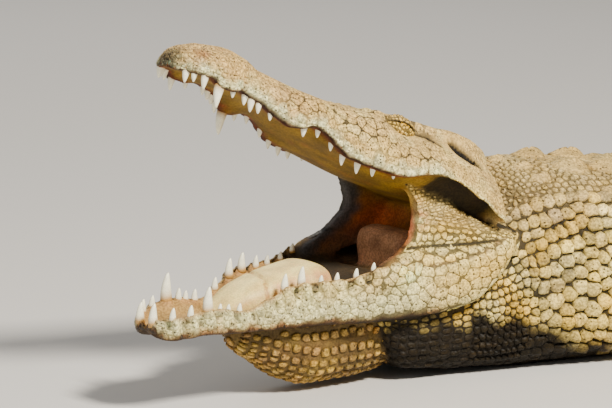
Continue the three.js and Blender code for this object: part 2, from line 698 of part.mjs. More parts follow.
const headBack = HEAD_AHEAD.clone().negate();
const [behind, fore] = part(whole, headPoint(-28, 0, 0, 0), headBack);
const bisector = (UPPER_PITCH + LOWER_PITCH) / 2;
const upward = headPoint(0, 0, 1, bisector).sub(headPoint(0, 0, 0, bisector));
const [head, underHead] = part(fore, headPoint(0, 0, 0, 0), upward);
const jawBase = headPoint(LOWER_REACH - 455, 0, -58, LOWER_PITCH);
const jawTip = headPoint(LOWER_REACH - 60, 0, -21, LOWER_PITCH);
const jawUp = new THREE.Vector3().crossVectors(jawTip.sub(jawBase), HEAD_LEFT);
const [lowerJaw, throat] = part(underHead, jawBase, jawUp.z > 0 ? jawUp : jawUp.negate());

addNode('head', head, hide);
addNode('lower_jaw', lowerJaw, paleHide);
addNode('throat', throat, wetHide);
addNode('tongue', mouthPad(TONGUE, 7, 8)
  .subtract(join([lowerJaw, lowerJaw.translate(0, 0, CUT)])), mouthLining);
sides.forEach(([label, side]) => addNode(`eye_${label}`, eyeball(side, EYE.radius), eyeGloss));

const spineCuts = [['neck', 400], ['trunk', 1390], ['tail_1', 1830], ['tail_2', 2300],
  ['tail_3', 2780]];
let rest = behind;
spineCuts.forEach(([name, s]) => {
  const here = spinePoint(s, 0, 0);
  const along = spinePoint(s + 1, 0, 0).sub(here);
  const [onward, piece] = part(rest, here, along);
  addNode(name, piece, hide);
  rest = onward;
});
addNode('tail_4', rest, hide);

const bodyClearance = body(CUT);
Object.entries(LIMBS).forEach(([limbName, spec]) => {
  sides.forEach(([label, side]) => {
    const leg = limb(spec, side).subtract(bodyClearance);
    const [below, upper] = part(leg, ...bendPlane(spec, side));
    const [foot, lower] = part(below, ...jointPlane(spec, side));
    addNode(`${limbName}_leg_${label}_upper`, upper, hide);
    addNode(`${limbName}_leg_${label}_lower`, lower, hide);
    addNode(`${limbName}_foot_${label}`, foot, hide);
  });
});

// ---------------------------------------------------------------- origin under the middle
const bounds = new THREE.Box3().setFromObject(crocodile);
const middle = bounds.getCenter(new THREE.Vector3());
crocodile.position.set(-middle.x, -middle.y, -bounds.min.z);

export default crocodile;
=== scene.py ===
"""Nile crocodile, life size, resting on its belly with its jaws held wide open.

Lengths in the tables are millimetres and every mesh is metres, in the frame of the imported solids.
The flesh is one closed skin.  Skull, mandible, cheeks, throat, trunk, tail and limbs are functions
of two parameters; their surfaces are merged into one, smoothed and thinned.  Scales are closed
plates that stand on the skin.  They are laid in rows over the same functions, so skin and scales
carry the same markings.  Teeth, claws, eyes and tongue are pieces of their own.
"""

from __future__ import annotations

import itertools
import logging
import math
from dataclasses import dataclass, field, replace
from enum import Enum
from typing import Callable, Iterable, Sequence

import bpy
import numpy as np
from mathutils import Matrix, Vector
from mathutils.kdtree import KDTree

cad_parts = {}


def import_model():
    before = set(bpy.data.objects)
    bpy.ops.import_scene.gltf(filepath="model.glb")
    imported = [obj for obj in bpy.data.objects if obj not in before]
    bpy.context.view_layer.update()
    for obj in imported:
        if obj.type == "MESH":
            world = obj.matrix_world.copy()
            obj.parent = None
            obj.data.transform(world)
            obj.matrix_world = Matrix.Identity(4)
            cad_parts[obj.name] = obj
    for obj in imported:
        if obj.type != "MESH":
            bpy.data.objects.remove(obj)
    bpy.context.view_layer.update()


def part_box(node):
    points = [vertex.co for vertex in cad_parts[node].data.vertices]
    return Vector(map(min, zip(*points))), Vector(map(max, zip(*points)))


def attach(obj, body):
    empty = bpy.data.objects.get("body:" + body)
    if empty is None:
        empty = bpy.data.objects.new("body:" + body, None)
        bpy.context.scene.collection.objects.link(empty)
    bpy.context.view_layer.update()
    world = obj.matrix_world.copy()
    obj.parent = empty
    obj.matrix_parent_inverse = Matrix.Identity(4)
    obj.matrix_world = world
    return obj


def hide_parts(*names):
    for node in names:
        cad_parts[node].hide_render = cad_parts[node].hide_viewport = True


log = logging.getLogger("crocodile")

Array = np.ndarray
Knots = Sequence[tuple[float, float]]
Field = Callable[[Array, Array], Array]
Paint = tuple[Array, Array]  # linear colours and wetness
Station = tuple[float, float, float, float, float]  # a place and the sizes there
Shell = tuple[Array, list[Array]]  # points and groups of faces

MM = 0.001
TAU = 2.0 * math.pi
BAKE_PATCH = 0.0015  # half the width of one scale on the bake map
U_NUDGE, V_NUDGE = 0.002, 0.004  # steps for differences, as shares of a patch's u and v
ON_FLOOR = 0.3  # how far feet and claws stay above the floor, in millimetres


# ---- curves
def curve(knots: Knots, x: Array | float) -> Array:
    """Cubic Hermite curve through the knots, whose tangents never overshoot a knot.

    Args:
        knots: pairs of position and value, positions rising.
        x: positions to read, held to the ends of the knots.

    Returns:
        The values at x.
    """
    table = np.asarray(knots, float)
    place, value = table[:, 0], table[:, 1]
    slope = np.diff(value) / np.diff(place)
    same_way = slope[:-1] * slope[1:]
    total = np.where(same_way > 0, slope[:-1] + slope[1:], 1.0)
    inner = np.where(same_way > 0, 2.0 * same_way / total, 0.0)
    tangent = np.concatenate(([slope[0]], inner, [slope[-1]]))
    at = np.clip(np.asarray(x, float), place[0], place[-1])
    i = np.clip(np.searchsorted(place, at, side="right") - 1, 0, len(place) - 2)
    h = place[i + 1] - place[i]
    t = (at - place[i]) / h
    t2, t3 = t * t, t * t * t
    rise = (2 * t3 - 3 * t2 + 1) * value[i] + (3 * t2 - 2 * t3) * value[i + 1]
    return rise + (t3 - 2 * t2 + t) * h * tangent[i] + (t3 - t2) * h * tangent[i + 1]


def ramp(x: Array | float, low: float, high: float) -> Array:
    """Smooth step from 0 at low to 1 at high."""
    t = np.clip((np.asarray(x, float) - low) / (high - low), 0.0, 1.0)
    return t * t * (3.0 - 2.0 * t)


def fall(x: Array | float, low: float, high: float) -> Array:
    """Smooth step from 1 at low to 0 at high."""
    return 1.0 - ramp(x, low, high)


def stepped(base: float, *steps: tuple[float, float, float]) -> Field:
    """A field of u alone that rises or falls by smooth steps.

    Args:
        base: its value before the first step.
        steps: height of each step, and the two positions it runs between.

    Returns:
        The field.
    """
    def value(u: Array, v: Array) -> Array:
        """The base and the steps at u.

        Args:
            u: the positions.
            v: not used.

        Returns:
            The values.
        """
        total = base
        for height, low, high in steps:
            total = total + height * ramp(u, low, high)
        return total
    return value


def read(entry: Field | float, u: Array, v: Array) -> Array:
    """A field read at (u, v), or a number repeated for each u."""
    return entry(u, v) if callable(entry) else np.full(np.shape(u), float(entry))


def hill(x: Array | float, middle: float, half_width: float) -> Array:
    """Gaussian hill of height 1 that falls to 1/e at half_width from its middle."""
    return np.exp(-(((np.asarray(x, float) - middle) / half_width) ** 2))


def signed_power(v: Array, power: Array | float) -> Array:
    """The power of the size of v, with v's own sign."""
    return np.sign(v) * np.abs(v) ** power


def unit(v: Array) -> Array:
    """Vectors of length 1 along v."""
    return v / np.maximum(np.linalg.norm(v, axis=-1, keepdims=True), 1e-12)


def catmull_rom(p: Sequence[Array], t: Array) -> Array:
    """Catmull-Rom curve between p[1] and p[2], t from 0 to 1."""
    return 0.5 * (2 * p[1] + (p[2] - p[0]) * t + (2 * p[0] - 5 * p[1] + 4 * p[2] - p[3]) * t**2
                  + (3 * p[1] - p[0] - 3 * p[2] + p[3]) * t**3)


def closed_spline(points: Array, v: Array) -> Array:
    """Catmull-Rom curve round closed rings of control points.

    Args:
        points: rings of shape (rows, count, 2), one for each v.
        v: place round the ring, from 0 to 1, of shape (rows,).

    Returns:
        Points of shape (rows, 2).
    """
    count = points.shape[1]
    at = np.mod(v, 1.0) * count
    i = np.floor(at).astype(int)
    t = (at - i)[:, None]
    row = np.arange(len(points))
    return catmull_rom([points[row, (i + k) % count] for k in (-1, 0, 1, 2)], t)


def ripple(points: Array, wavelength: float, seed: int) -> Array:
    """Smooth irregular pattern between about -1 and 1: a sum of waves in seeded directions.

    Args:
        points: places in metres, of shape (n, 3).
        wavelength: usual length of a wave, in millimetres.
        seed: chooses the directions and phases.

    Returns:
        One value for each point.
    """
    rng = np.random.default_rng(seed)
    waves = unit(rng.normal(size=(14, 3))) * rng.uniform(0.6, 1.7, (14, 1))
    phase = rng.uniform(0, TAU, 14)
    total = np.sin(points @ waves.T * (TAU / (wavelength * MM)) + phase).sum(axis=1)
    return np.clip(total / 5.0, -1.0, 1.0)


# ---- colours
def srgb(red: float, green: float, blue: float) -> Array:
    """Linear colour of an 8-bit sRGB triple."""
    c = np.array([red, green, blue], float) / 255.0
    return np.where(c <= 0.04045, c / 12.92, ((c + 0.055) / 1.055) ** 2.4)


class Tint(Enum):
    """Colours of the hide, the mouth and the horn, as 8-bit sRGB."""

    SAND = (194, 162, 98)
    DUST = (180, 153, 101)
    CREAM = (226, 212, 142)
    LIP = (212, 210, 160)
    GOLD = (216, 178, 80)
    OCHRE = (184, 140, 72)
    # rusty stains, also used for painted shade in the tongue's crease
    RUST = (150, 90, 32)
    OLIVE = (122, 112, 74)
    BARK = (122, 100, 72)
    # brown of dirt and mottling, also used for painted shade in grooves and under the jaw
    MUD = (92, 70, 44)
    DARK = (52, 44, 34)
    BELLY = (214, 198, 142)
    # roof and lining of the mouth, darkened to stand for painted shade
    PALATE = (136, 106, 28)
    MOUTH = (150, 122, 74)
    TONGUE = (244, 222, 142)
    GUM = (124, 50, 30)
    EMBER = (196, 96, 44)
    PINK = (196, 116, 84)
    FLAP = (184, 134, 98)
    # grey of painted shade inside the mouth and on the right cheek
    SLATE = (62, 66, 70)

    @property
    def linear(self) -> Array:
        """The colour as linear RGB."""
        return srgb(*self.value)


def mix(base: Array, tint: Tint | Array, share: Array | float) -> Array:
    """Colours moved towards a tint by a share between 0 and 1.

    Args:
        base: colours of shape (n, 3).
        tint: the colour moved to.
        share: one number, or one for each colour.

    Returns:
        The mixed colours.
    """
    goal = tint.linear if isinstance(tint, Tint) else tint
    part = np.broadcast_to(np.asarray(share, float), (len(base),))[:, None]
    return base * (1.0 - part) + goal * part


def flood(count: int, tint: Tint) -> Array:
    """One tint repeated for count points."""
    return np.tile(tint.linear, (count, 1))


def layered(count: int, base: Tint, *layers: tuple[Tint | Array, Array | float]) -> Array:
    """A tint under layers, each mixed over what lies below it.

    Args:
        count: number of points.
        base: the lowest tint.
        layers: colour of each layer, and the share by which it covers what lies below.

    Returns:
        Linear colours of shape (count, 3).
    """
    colour = flood(count, base)
    for tint, share in layers:
        colour = mix(colour, tint, share)
    return colour


# ---- frames
@dataclass(frozen=True)
class HeadFrame:
    """Axes of the head: ahead to the snout, side to the animal's left, up, from the jaw joint."""

    hinge: tuple[float, float, float]
    yaw: float = math.radians(18.0)
    upper_pitch: float = math.radians(26.7)
    lower_pitch: float = math.radians(-7.1)
    upper_reach: float = 562.0
    lower_reach: float = 551.0

    def axes(self, pitch: float) -> tuple[Array, Array, Array]:
        """Unit vectors ahead, to the left and up for a jaw raised by pitch.

        Args:
            pitch: how far the jaw is raised.

        Returns:
            The three vectors.
        """
        level = np.array([-math.cos(self.yaw), -math.sin(self.yaw), 0.0])
        left = np.array([math.sin(self.yaw), -math.cos(self.yaw), 0.0])
        up = np.array([0.0, 0.0, 1.0])
        forward = level * math.cos(pitch) + up * math.sin(pitch)
        lift = up * math.cos(pitch) - level * math.sin(pitch)
        return forward, left, lift

    def point(self, ahead: Array, side: Array, up: Array, pitch: float) -> Array:
        """Places millimetres in a jaw's frame into metres.

        Args:
            ahead: distance towards the snout.
            side: distance to the left.
            up: distance above the jaw's axis.
            pitch: how far the jaw is raised.

        Returns:
            Points, with one more axis than the inputs.
        """
        forward, left, lift = self.axes(pitch)
        a, b, c = np.broadcast_arrays(ahead, side, up)
        return np.asarray(self.hinge) + MM * (
            a[..., None] * forward + b[..., None] * left + c[..., None] * lift)

    def local(self, points: Array, pitch: float) -> tuple[Array, Array, Array]:
        """Ahead, side and up in millimetres of points in metres, the inverse of point().

        Args:
            points: places in metres.
            pitch: how far the jaw's frame is raised.

        Returns:
            One value of each for every point.
        """
        away = (points - np.asarray(self.hinge)) / MM
        forward, left, lift = self.axes(pitch)
        return away @ forward, away @ left, away @ lift

    def upper(self, t: Array, side: Array, up: Array) -> Array:
        """Metres of a point t back from the snout, in the upper jaw's frame."""
        return self.point(self.upper_reach - t, side, up, self.upper_pitch)

    def lower(self, t: Array, side: Array, up: Array) -> Array:
        """Metres of a point t back from the chin, in the lower jaw's frame."""
        return self.point(self.lower_reach - t, side, up, self.lower_pitch)

    def in_upper(self, points: Array) -> tuple[Array, Array, Array]:
        """Millimetres back from the snout, to the side and up: upper() undone."""
        ahead, side, up = self.local(points, self.upper_pitch)
        return self.upper_reach - ahead, side, up

    def in_lower(self, points: Array) -> tuple[Array, Array, Array]:
        """Millimetres back from the chin, to the side and up: lower() undone."""
        ahead, side, up = self.local(points, self.lower_pitch)
        return self.lower_reach - ahead, side, up

    def joint_folds(self, points: Array) -> Array:
        """From -1 in the grooves to 1 on the folds that lie in arcs behind each jaw joint.

        Args:
            points: places in metres, of shape (n, 3).

        Returns:
            One value for each point.
        """
        ahead, side, up = self.local(points, 0.0)
        reach = np.hypot(ahead + 14.0, up + 4.0) + 0.3 * (120.0 - np.abs(side))
        there = ramp(-ahead, -6, 14) * fall(reach, 62, 96) * ramp(reach, 14, 28)
        return there * np.cos(TAU * reach / 12.5 + ripple(points, 80, 81))


class Spine:
    """The line of the back on the floor: it leaves the head, straightens and swings in the tail."""

    BEFORE = -240.0
    END = 3225.0
    STEP = 5.0
    TRUNK_MIDDLE = 900.0

    def __init__(self, head: HeadFrame) -> None:
        """Adds up the steps along the heading, starting from the jaw joint's place on the floor.

        Args:
            head: frame of the head, whose joint is where the spine starts.
        """
        self.yaw = head.yaw
        self.origin = np.array([head.hinge[0], head.hinge[1], 0.0])
        self.s = np.arange(self.BEFORE, self.END + 2 * self.STEP, self.STEP)
        heading = self.heading(self.s[:-1] + self.STEP / 2)
        x = np.concatenate(([0.0], np.cumsum(np.cos(heading)) * self.STEP))
        y = np.concatenate(([0.0], np.cumsum(np.sin(heading)) * self.STEP))
        start = int(-self.BEFORE / self.STEP)
        self.x, self.y = x - x[start], y - y[start]

    def heading(self, s: Array) -> Array:
        """Direction of the spine at s, as an angle from the trunk's axis.

        Args:
            s: millimetres back along the spine.

        Returns:
            Angles in radians.
        """
        neck = self.yaw * fall(s, 40, 430)
        swing = math.radians(24.0) * ramp(s, 1250, 2050)
        recurve = math.radians(58.0) * ramp(s, 1950, 3100)
        return neck + swing - recurve

    def point(self, s: Array, side: Array, z: Array) -> Array:
        """Metres of a point s back along the spine, side to the left and z above the floor.

        Args:
            s: millimetres back from the jaw joint.
            side: millimetres to the left.
            z: millimetres above the floor.

        Returns:
            Points, with one more axis than the inputs.
        """
        s, side, z = np.broadcast_arrays(np.asarray(s, float), side, z)
        turn = self.heading(s)
        x = np.interp(s, self.s, self.x) + np.sin(turn) * side
        y = np.interp(s, self.s, self.y) - np.cos(turn) * side
        return self.origin + MM * np.stack((x, y, z), axis=-1)

    def trunk_point(self, s: Array, side: Array, z: Array) -> Array:
        """As point(), but with the trunk's straight axis carried on past shoulder and hip.

        Args:
            s: millimetres back from the jaw joint.
            side: millimetres to the left.
            z: millimetres above the floor.

        Returns:
            Points, with one more axis than the inputs.
        """
        s, side, z = np.broadcast_arrays(np.asarray(s, float), side, z)
        base = self.point(np.full(s.shape, self.TRUNK_MIDDLE), side, z)
        base[..., 0] += MM * (s - self.TRUNK_MIDDLE)
        return base


# ---- surfaces
@dataclass(frozen=True)
class Patch:
    """A stretch of the animal's surface: a function of two parameters, and what it looks like.

    place turns (u, v) into metres, and paint gives a linear colour and a wetness from 0 to 1 for
    points at (u, v).  core gives a point inside the body for each u, where scales are laid.
    """

    place: Field
    u: tuple[float, float]
    v: tuple[float, float]
    paint: Callable[[Array, Array, Array], Paint]
    core: Callable[[Array], Array] | None = None
    bare: float = 0.0  # 0 where scales cover the skin, 1 where the skin itself shows
    groove: Field | float = 0.3  # share of the paint's colour left between the scales
    rounds: bool = False  # v runs round a closed ring

    def grid(self, rows: int, columns: int) -> tuple[Array, Array, Array]:
        """Points of the patch on an even grid.

        Args:
            rows: number of steps in u.
            columns: number of steps in v.

        Returns:
            u, v and the points, of shapes (rows, columns) and (rows, columns, 3).
        """
        u = np.linspace(*self.u, rows)
        v = np.linspace(*self.v, columns, endpoint=not self.rounds)
        uu, vv = np.meshgrid(u, v, indexing="ij")
        return uu, vv, self.place(uu, vv)

    def frame(self, u: Array, v: Array) -> tuple[Array, Array, Array, Array]:
        """Points and unit vectors along u, across, and outwards, from differences of place().

        Args:
            u: the points' places along the patch.
            v: the points' places across it.

        Returns:
            Points, along, across and outwards, each of shape (n, 3).
        """
        du, dv = U_NUDGE * (self.u[1] - self.u[0]), V_NUDGE * (self.v[1] - self.v[0])
        here = self.place(u, v)
        along = unit(self.place(u + du, v) - self.place(u - du, v))
        across = self.place(u, v + dv) - self.place(u, v - dv)
        out = unit(np.cross(along, across))
        inward = np.sum(out * (here - self.core(u)), axis=-1) < 0
        out = np.where(inward[..., None], -out, out)
        return here, along, np.cross(out, along), out


def quads(rows: int, columns: int, rounds: bool) -> Array:
    """Four-cornered faces of a grid whose points are numbered row by row.

    Args:
        rows: number of rows of points.
        columns: number of points in a row.
        rounds: whether each row closes on itself.

    Returns:
        Faces of shape (n, 4).
    """
    last = columns if rounds else columns - 1
    r, c = np.meshgrid(np.arange(rows - 1), np.arange(last), indexing="ij")
    near, far = r * columns + c, r * columns + (c + 1) % columns
    return np.stack((near, far, far + columns, near + columns), axis=-1).reshape(-1, 4)


def tube(rings: Array) -> Shell:
    """Closed shell from rings of points of shape (rows, columns, 3), each end a fan.

    Args:
        rings: points of the rings, in order.

    Returns:
        The shell.
    """
    rows, columns, _ = rings.shape
    ends = np.stack((rings[0].mean(axis=0), rings[-1].mean(axis=0)))
    points = np.concatenate((rings.reshape(-1, 3), ends))
    i = np.arange(columns)
    j = (i + 1) % columns
    first, last = rows * columns, (rows - 1) * columns
    fans = (np.stack((j, i, np.full(columns, first)), axis=-1),
            np.stack((i + last, j + last, np.full(columns, first + 1)), axis=-1))
    return points, [quads(rows, columns, True), *fans]


def slab(outer: Array, inner: Array) -> Shell:
    """Closed shell between two grids of the same shape, with a wall along all four borders.

    Args:
        outer: points of one face.
        inner: points of the other, in the same order.

    Returns:
        The shell.
    """
    rows, columns, _ = outer.shape
    shift = rows * columns
    front = quads(rows, columns, False)
    index = np.arange(shift).reshape(rows, columns)
    border = np.concatenate((index[0], index[1:, -1], index[-1, -2::-1], index[-2:0:-1, 0]))
    following = np.roll(border, -1)
    wall = np.stack((following, border, border + shift, following + shift), axis=-1)
    points = np.concatenate((outer.reshape(-1, 3), inner.reshape(-1, 3)))
    return points, [front, front[:, ::-1] + shift, wall]


def ringed(surface: Field, rows: Array, columns: int, turn: float = TAU) -> Shell:
    """Closed shell of a surface whose second parameter goes once round, from 0 to turn."""
    return tube(surface(*np.meshgrid(rows, np.arange(columns) / columns * turn, indexing="ij")))


def walled(outer: Field, inner: Field, rows: Array, columns: Array) -> Shell:
    """Closed shell between two surfaces over the same parameters."""
    places = np.meshgrid(rows, columns, indexing="ij")
    return slab(outer(*places), inner(*places))


def merged(shells: Iterable[Shell]) -> Shell:
    """Several shells as one list of points and faces.

    Args:
        shells: the shells.

    Returns:
        One shell, which keeps them apart.
    """
    points, faces, start = [], [], 0
    for own, groups in shells:
        points.append(own)
        faces.extend(group + start for group in groups)
        start += len(own)
    return np.concatenate(points), faces


def mesh_object(name: str, shell: Shell, smooth: bool = True) -> bpy.types.Object:
    """Puts a shell into a new object at the origin.

    Args:
        name: the object's name.
        shell: its points and groups of faces.
        smooth: whether faces shade smoothly.

    Returns:
        The object, linked to the scene.
    """
    points, groups = shell
    mesh = bpy.data.meshes.new(name)
    mesh.vertices.add(len(points))
    mesh.vertices.foreach_set("co", np.ascontiguousarray(points, np.float32).ravel())
    corners = np.concatenate([group.ravel() for group in groups]) if groups else np.zeros(0, int)
    sizes = np.concatenate([np.full(len(g), g.shape[1]) for g in groups]) if groups else []
    if len(sizes):
        mesh.loops.add(len(corners))
        mesh.loops.foreach_set("vertex_index", corners.astype(np.int32))
        mesh.polygons.add(len(sizes))
        starts = np.concatenate(([0], np.cumsum(sizes)[:-1])).astype(np.int32)
        mesh.polygons.foreach_set("loop_start", starts)
        mesh.polygons.foreach_set("use_smooth", np.full(len(sizes), smooth))
    mesh.update(calc_edges=True)
    thing = bpy.data.objects.new(name, mesh)
    bpy.context.scene.collection.objects.link(thing)
    return thing


def values_of(items: bpy.types.bpy_prop_collection, name: str, width: int,
              kind: type = np.float32) -> Array:
    """One property of every item.

    Args:
        items: points, edges, corners or triangles of a mesh.
        name: the property.
        width: numbers it has for each item.
        kind: type of those numbers.

    Returns:
        The numbers, of shape (n, width).
    """
    flat = np.empty(len(items) * width, kind)
    items.foreach_get(name, flat)
    return flat.reshape(-1, width)


def points_of(mesh: bpy.types.Mesh) -> Array:
    """Places of a mesh's points, of shape (n, 3)."""
    return values_of(mesh.vertices, "co", 3).astype(float)


def give_colours(mesh: bpy.types.Mesh, colour: Array, wet: Array) -> None:
    """Stores a linear colour and a wetness at each point, which the finishes read.

    Args:
        mesh: the mesh to paint.
        colour: one linear colour for each point.
        wet: one wetness for each point, from 0 to 1.
    """
    paint = mesh.attributes.new("paint", "FLOAT_COLOR", "POINT")
    rgba = np.concatenate((np.clip(colour, 0, 1), np.ones((len(colour), 1))), axis=1)
    paint.data.foreach_set("color", rgba.astype(np.float32).ravel())
    mesh.attributes.new("wet", "FLOAT", "POINT").data.foreach_set("value", wet.astype(np.float32))


def painted(name: str, parts: Sequence[tuple[Shell, Array]], wet: float) -> bpy.types.Object:
    """One piece made of several shells.

    Args:
        name: the piece's name.
        parts: each shell with the colours of its points.
        wet: wetness of the whole piece.

    Returns:
        The object.
    """
    piece = mesh_object(name, merged(shell for shell, _ in parts))
    colour = np.concatenate([own for _, own in parts])
    give_colours(piece.data, colour, np.full(len(colour), wet))
    return piece


def applied(thing: bpy.types.Object) -> bpy.types.Object:
    """Replaces an object's mesh by what its modifiers make of it, and clears them.

    Args:
        thing: the object, whose modifiers are live.

    Returns:
        The same object.
    """
    graph = bpy.context.evaluated_depsgraph_get()
    made = bpy.data.meshes.new_from_object(thing.evaluated_get(graph))
    old = thing.data
    thing.modifiers.clear()
    thing.data = made
    bpy.data.meshes.remove(old)
    return thing


def spread_over_edges(mesh: bpy.types.Mesh, values: Array, passes: int) -> Array:
    """Averages values with their neighbours along the mesh's edges, passes times over.

    Args:
        mesh: the mesh.
        values: one value or row of values for each point.
        passes: how many times.

    Returns:
        The averaged values.
    """
    a, b = values_of(mesh.edges, "vertices", 2, np.int32).T
    count = np.bincount(np.concatenate((a, b)), minlength=len(values))[:, None] + 1.0
    table = values.reshape(len(values), -1).astype(float)
    for _ in range(passes):
        columns = [np.bincount(a, c[b], len(values)) + np.bincount(b, c[a], len(values))
                   for c in table.T]
        table = (table + np.stack(columns, axis=1)) / count
    return table.reshape(values.shape)


class Nearest:
    """Finds which of many samples lies nearest a point: samples are sorted into cubes."""

    KEPT = 5  # samples that are compared from each cube

    def __init__(self, samples: Array, cell: float) -> None:
        """Sorts the samples.

        Args:
            samples: places in metres, of shape (n, 3).
            cell: edge of a cube in metres.
        """
        self.samples, self.cell = samples, cell
        self.low = samples.min(axis=0) - 3 * cell
        self.size = np.ceil((samples.max(axis=0) - self.low) / cell).astype(np.int64) + 4
        key = self.key(self.cube(samples))
        self.order = np.argsort(key, kind="stable")
        self.keys, self.first, self.count = np.unique(
            key[self.order], return_index=True, return_counts=True)

    def cube(self, points: Array) -> Array:
        """Whole-number cube of each point."""
        return np.clip(np.floor((points - self.low) / self.cell), 1, self.size - 2).astype(np.int64)

    def key(self, cube: Array) -> Array:
        """One number for each cube."""
        return (cube[:, 0] * self.size[1] + cube[:, 1]) * self.size[2] + cube[:, 2]

    def find(self, points: Array) -> Array:
        """Indices of the nearest samples, looked for in a point's cube and the 26 around it.

        Args:
            points: places in metres, of shape (n, 3).

        Returns:
            One index for each point.
        """
        home = self.cube(points)
        best = np.full(len(points), np.inf)
        found = np.zeros(len(points), np.int64)
        for step in itertools.product((-1, 0, 1), repeat=3):
            want = self.key(home + np.array(step))
            at = np.clip(np.searchsorted(self.keys, want), 0, len(self.keys) - 1)
            hit = self.keys[at] == want
            for k in range(self.KEPT):
                pick = (k * self.count[at]) // self.KEPT
                candidate = self.order[self.first[at] + pick]
                gap = np.sum((self.samples[candidate] - points) ** 2, axis=1)
                closer = hit & (gap < best)
                best[closer] = gap[closer]
                found[closer] = candidate[closer]
        return found


# ---- head
@dataclass(frozen=True)
class Skull:
    """The upper jaw and skull: positions t run back from the snout, lengths in millimetres."""

    head: HeadFrame
    front: float = -13.0
    back: float = 520.0
    ridge_share: float = 0.62
    half_width: Knots = (
        (-13, 2), (-10, 12), (-4, 24), (6, 37), (25, 51), (50, 60), (72, 59), (90, 53),
        (108, 56), (130, 66), (160, 79), (195, 87), (230, 90), (310, 110), (400, 128),
        (490, 143), (508, 143), (520, 136))
    lip: Knots = (
        (-13, 0), (14, 7), (34, 9), (42, 2), (60, 3), (84, 10), (112, 8), (135, -1),
        (159, -6), (174, -3), (188, 6), (203, 7), (222, 2), (260, -10), (320, -7), (345, -1),
        (375, 14), (397, 20), (436, 15), (482, 4), (500, -2), (520, 0))
    crown: Knots = (
        (-13, 4), (-9, 22), (2, 34), (18, 43), (45, 55), (70, 61), (88, 60), (110, 54),
        (165, 54), (235, 58), (300, 69), (350, 74), (400, 83), (440, 91), (490, 94),
        (508, 92), (520, 80))
    ridge_side: Knots = (
        (-13, 1), (0, 16), (40, 26), (120, 28), (200, 36), (280, 40), (330, 46), (370, 52),
        (410, 60), (450, 64), (495, 62), (520, 54))
    ridge_drop: Knots = (
        (-13, 2), (30, 5), (100, 5), (200, 4), (280, 3), (318, -2), (345, -7), (380, -6),
        (410, -3), (470, -2), (500, 3), (520, 6))
    ridge_step: Knots = (
        (-13, 0), (290, 0), (330, 9), (370, 13), (400, 12), (430, 15), (495, 16), (520, 8))
    roundness: Knots = (
        (-13, 2), (60, 2.2), (250, 2.1), (330, 1.7), (400, 1.45), (520, 1.35))
    palate: Knots = (
        (-13, 3), (30, 10), (180, 8), (230, -2), (300, -12), (360, -18), (420, -14), (520, -8))

    def top(self, t: Array, side: Array) -> Array:
        """Height of the outer surface: a shallow crown between two ridges, then a round flank.

        Args:
            t: millimetres back from the snout.
            side: millimetres from the midline.

        Returns:
            Heights in millimetres.
        """
        width, lip = curve(self.half_width, t), curve(self.lip, t)
        crown, ridge = curve(self.crown, t), curve(self.ridge_side, t)
        ridge_top = crown - curve(self.ridge_drop, t)
        step, power = curve(self.ridge_step, t), curve(self.roundness, t)
        away = np.abs(side)
        middle = crown + (ridge_top - crown) * np.minimum(away / ridge, 1.0) ** 2
        out = np.clip((away - ridge) / (width - ridge), 0.0, 1.0)
        flank = (1.0 - out**power) ** (1.0 / power)
        outer = lip + (ridge_top - step - lip) * flank + step * np.exp(-(((away - ridge) / 7) ** 2))
        return np.where(away <= ridge, middle, outer)

    def under(self, t: Array, side: Array) -> Array:
        """Height of the palate: level with the lip at the sides and flat in the middle.

        Args:
            t: millimetres back from the snout.
            side: millimetres from the midline.

        Returns:
            Heights in millimetres.
        """
        inner = np.maximum(curve(self.half_width, t) - 13.0, 0.5)
        fill = 1.0 - np.minimum(np.abs(side) / inner, 1.0) ** 3
        middle = np.minimum(curve(self.palate, t), curve(self.crown, t) - 6.0)
        lip = curve(self.lip, t)
        hollow = 26.0 * hill(np.abs(side), inner - 14.0, 17.0) * ramp(t, 392, 430)
        return lip + (middle - lip) * fill + hollow * fall(t, 496, 518)

    def side_at(self, t: Array, v: Array) -> Array:
        """Side of a section's point: v is 1 at the left lip, 0 on the midline, -1 at the right.

        Args:
            t: millimetres back from the snout.
            v: place round the section.

        Returns:
            Millimetres from the midline.
        """
        width, ridge = curve(self.half_width, t), curve(self.ridge_side, t)
        inward = 1.0 - np.abs(v)
        out = np.clip(inward / self.ridge_share, 0.0, 1.0)
        flank = width - (width - ridge) * (1.0 - np.cos(math.pi / 2 * out))
        middle = ridge * (1.0 - (inward - self.ridge_share) / (1.0 - self.ridge_share))
        return np.sign(v) * np.where(inward < self.ridge_share, flank, middle)

    def outside(self, t: Array, v: Array) -> Array:
        """Point of the outer surface in metres."""
        side = self.side_at(t, v)
        return self.head.upper(t, side, self.top(t, side))

    def roof(self, t: Array, v: Array) -> Array:
        """Point of the palate in metres, at the same side as outside()."""
        side = self.side_at(t, v)
        return self.head.upper(t, side, self.under(t, side))

    @staticmethod
    def slits(t: Array, away: Array, up: Array) -> Array:
        """From 0 to 1 in the slit under the ear's flap and in the crease behind the eye.

        Args:
            t: millimetres back from the snout.
            away: millimetres from the midline.
            up: millimetres above the jaw's axis.

        Returns:
            One value for each place.
        """
        ear = hill(up, 71.0 - 0.17 * (t - 430.0), 6.5 - 2.5 * ramp(t, 445, 480))
        ear = ear * ramp(t, 422, 434) * fall(t, 478, 494)
        crease = hill(t - 1.3 * (away - 73.0), 383.0, 4.6) * ramp(away, 68, 73) \
            * fall(away, 86, 93) * ramp(up, 34, 44)
        return np.clip(ear * ramp(away, 54, 64) + crease, 0.0, 1.0)

    @staticmethod
    def mosaic(t: Array, v: Array) -> Array:
        """From 0 on the rough snout, the lips, the lids and the rear lobe to 1 on the flank.

        Args:
            t: millimetres back from the snout.
            v: place round the section.

        Returns:
            One value for each place.
        """
        lids = ramp(hill(t, 352, 32) * hill(np.abs(v), 0.53, 0.17), 0.3, 0.6)
        return ramp(t, 96, 170) * fall(t, 368, 420) * (1 - lids) \
            * (1 - 0.85 * ramp(np.abs(v), 0.8, 0.88))

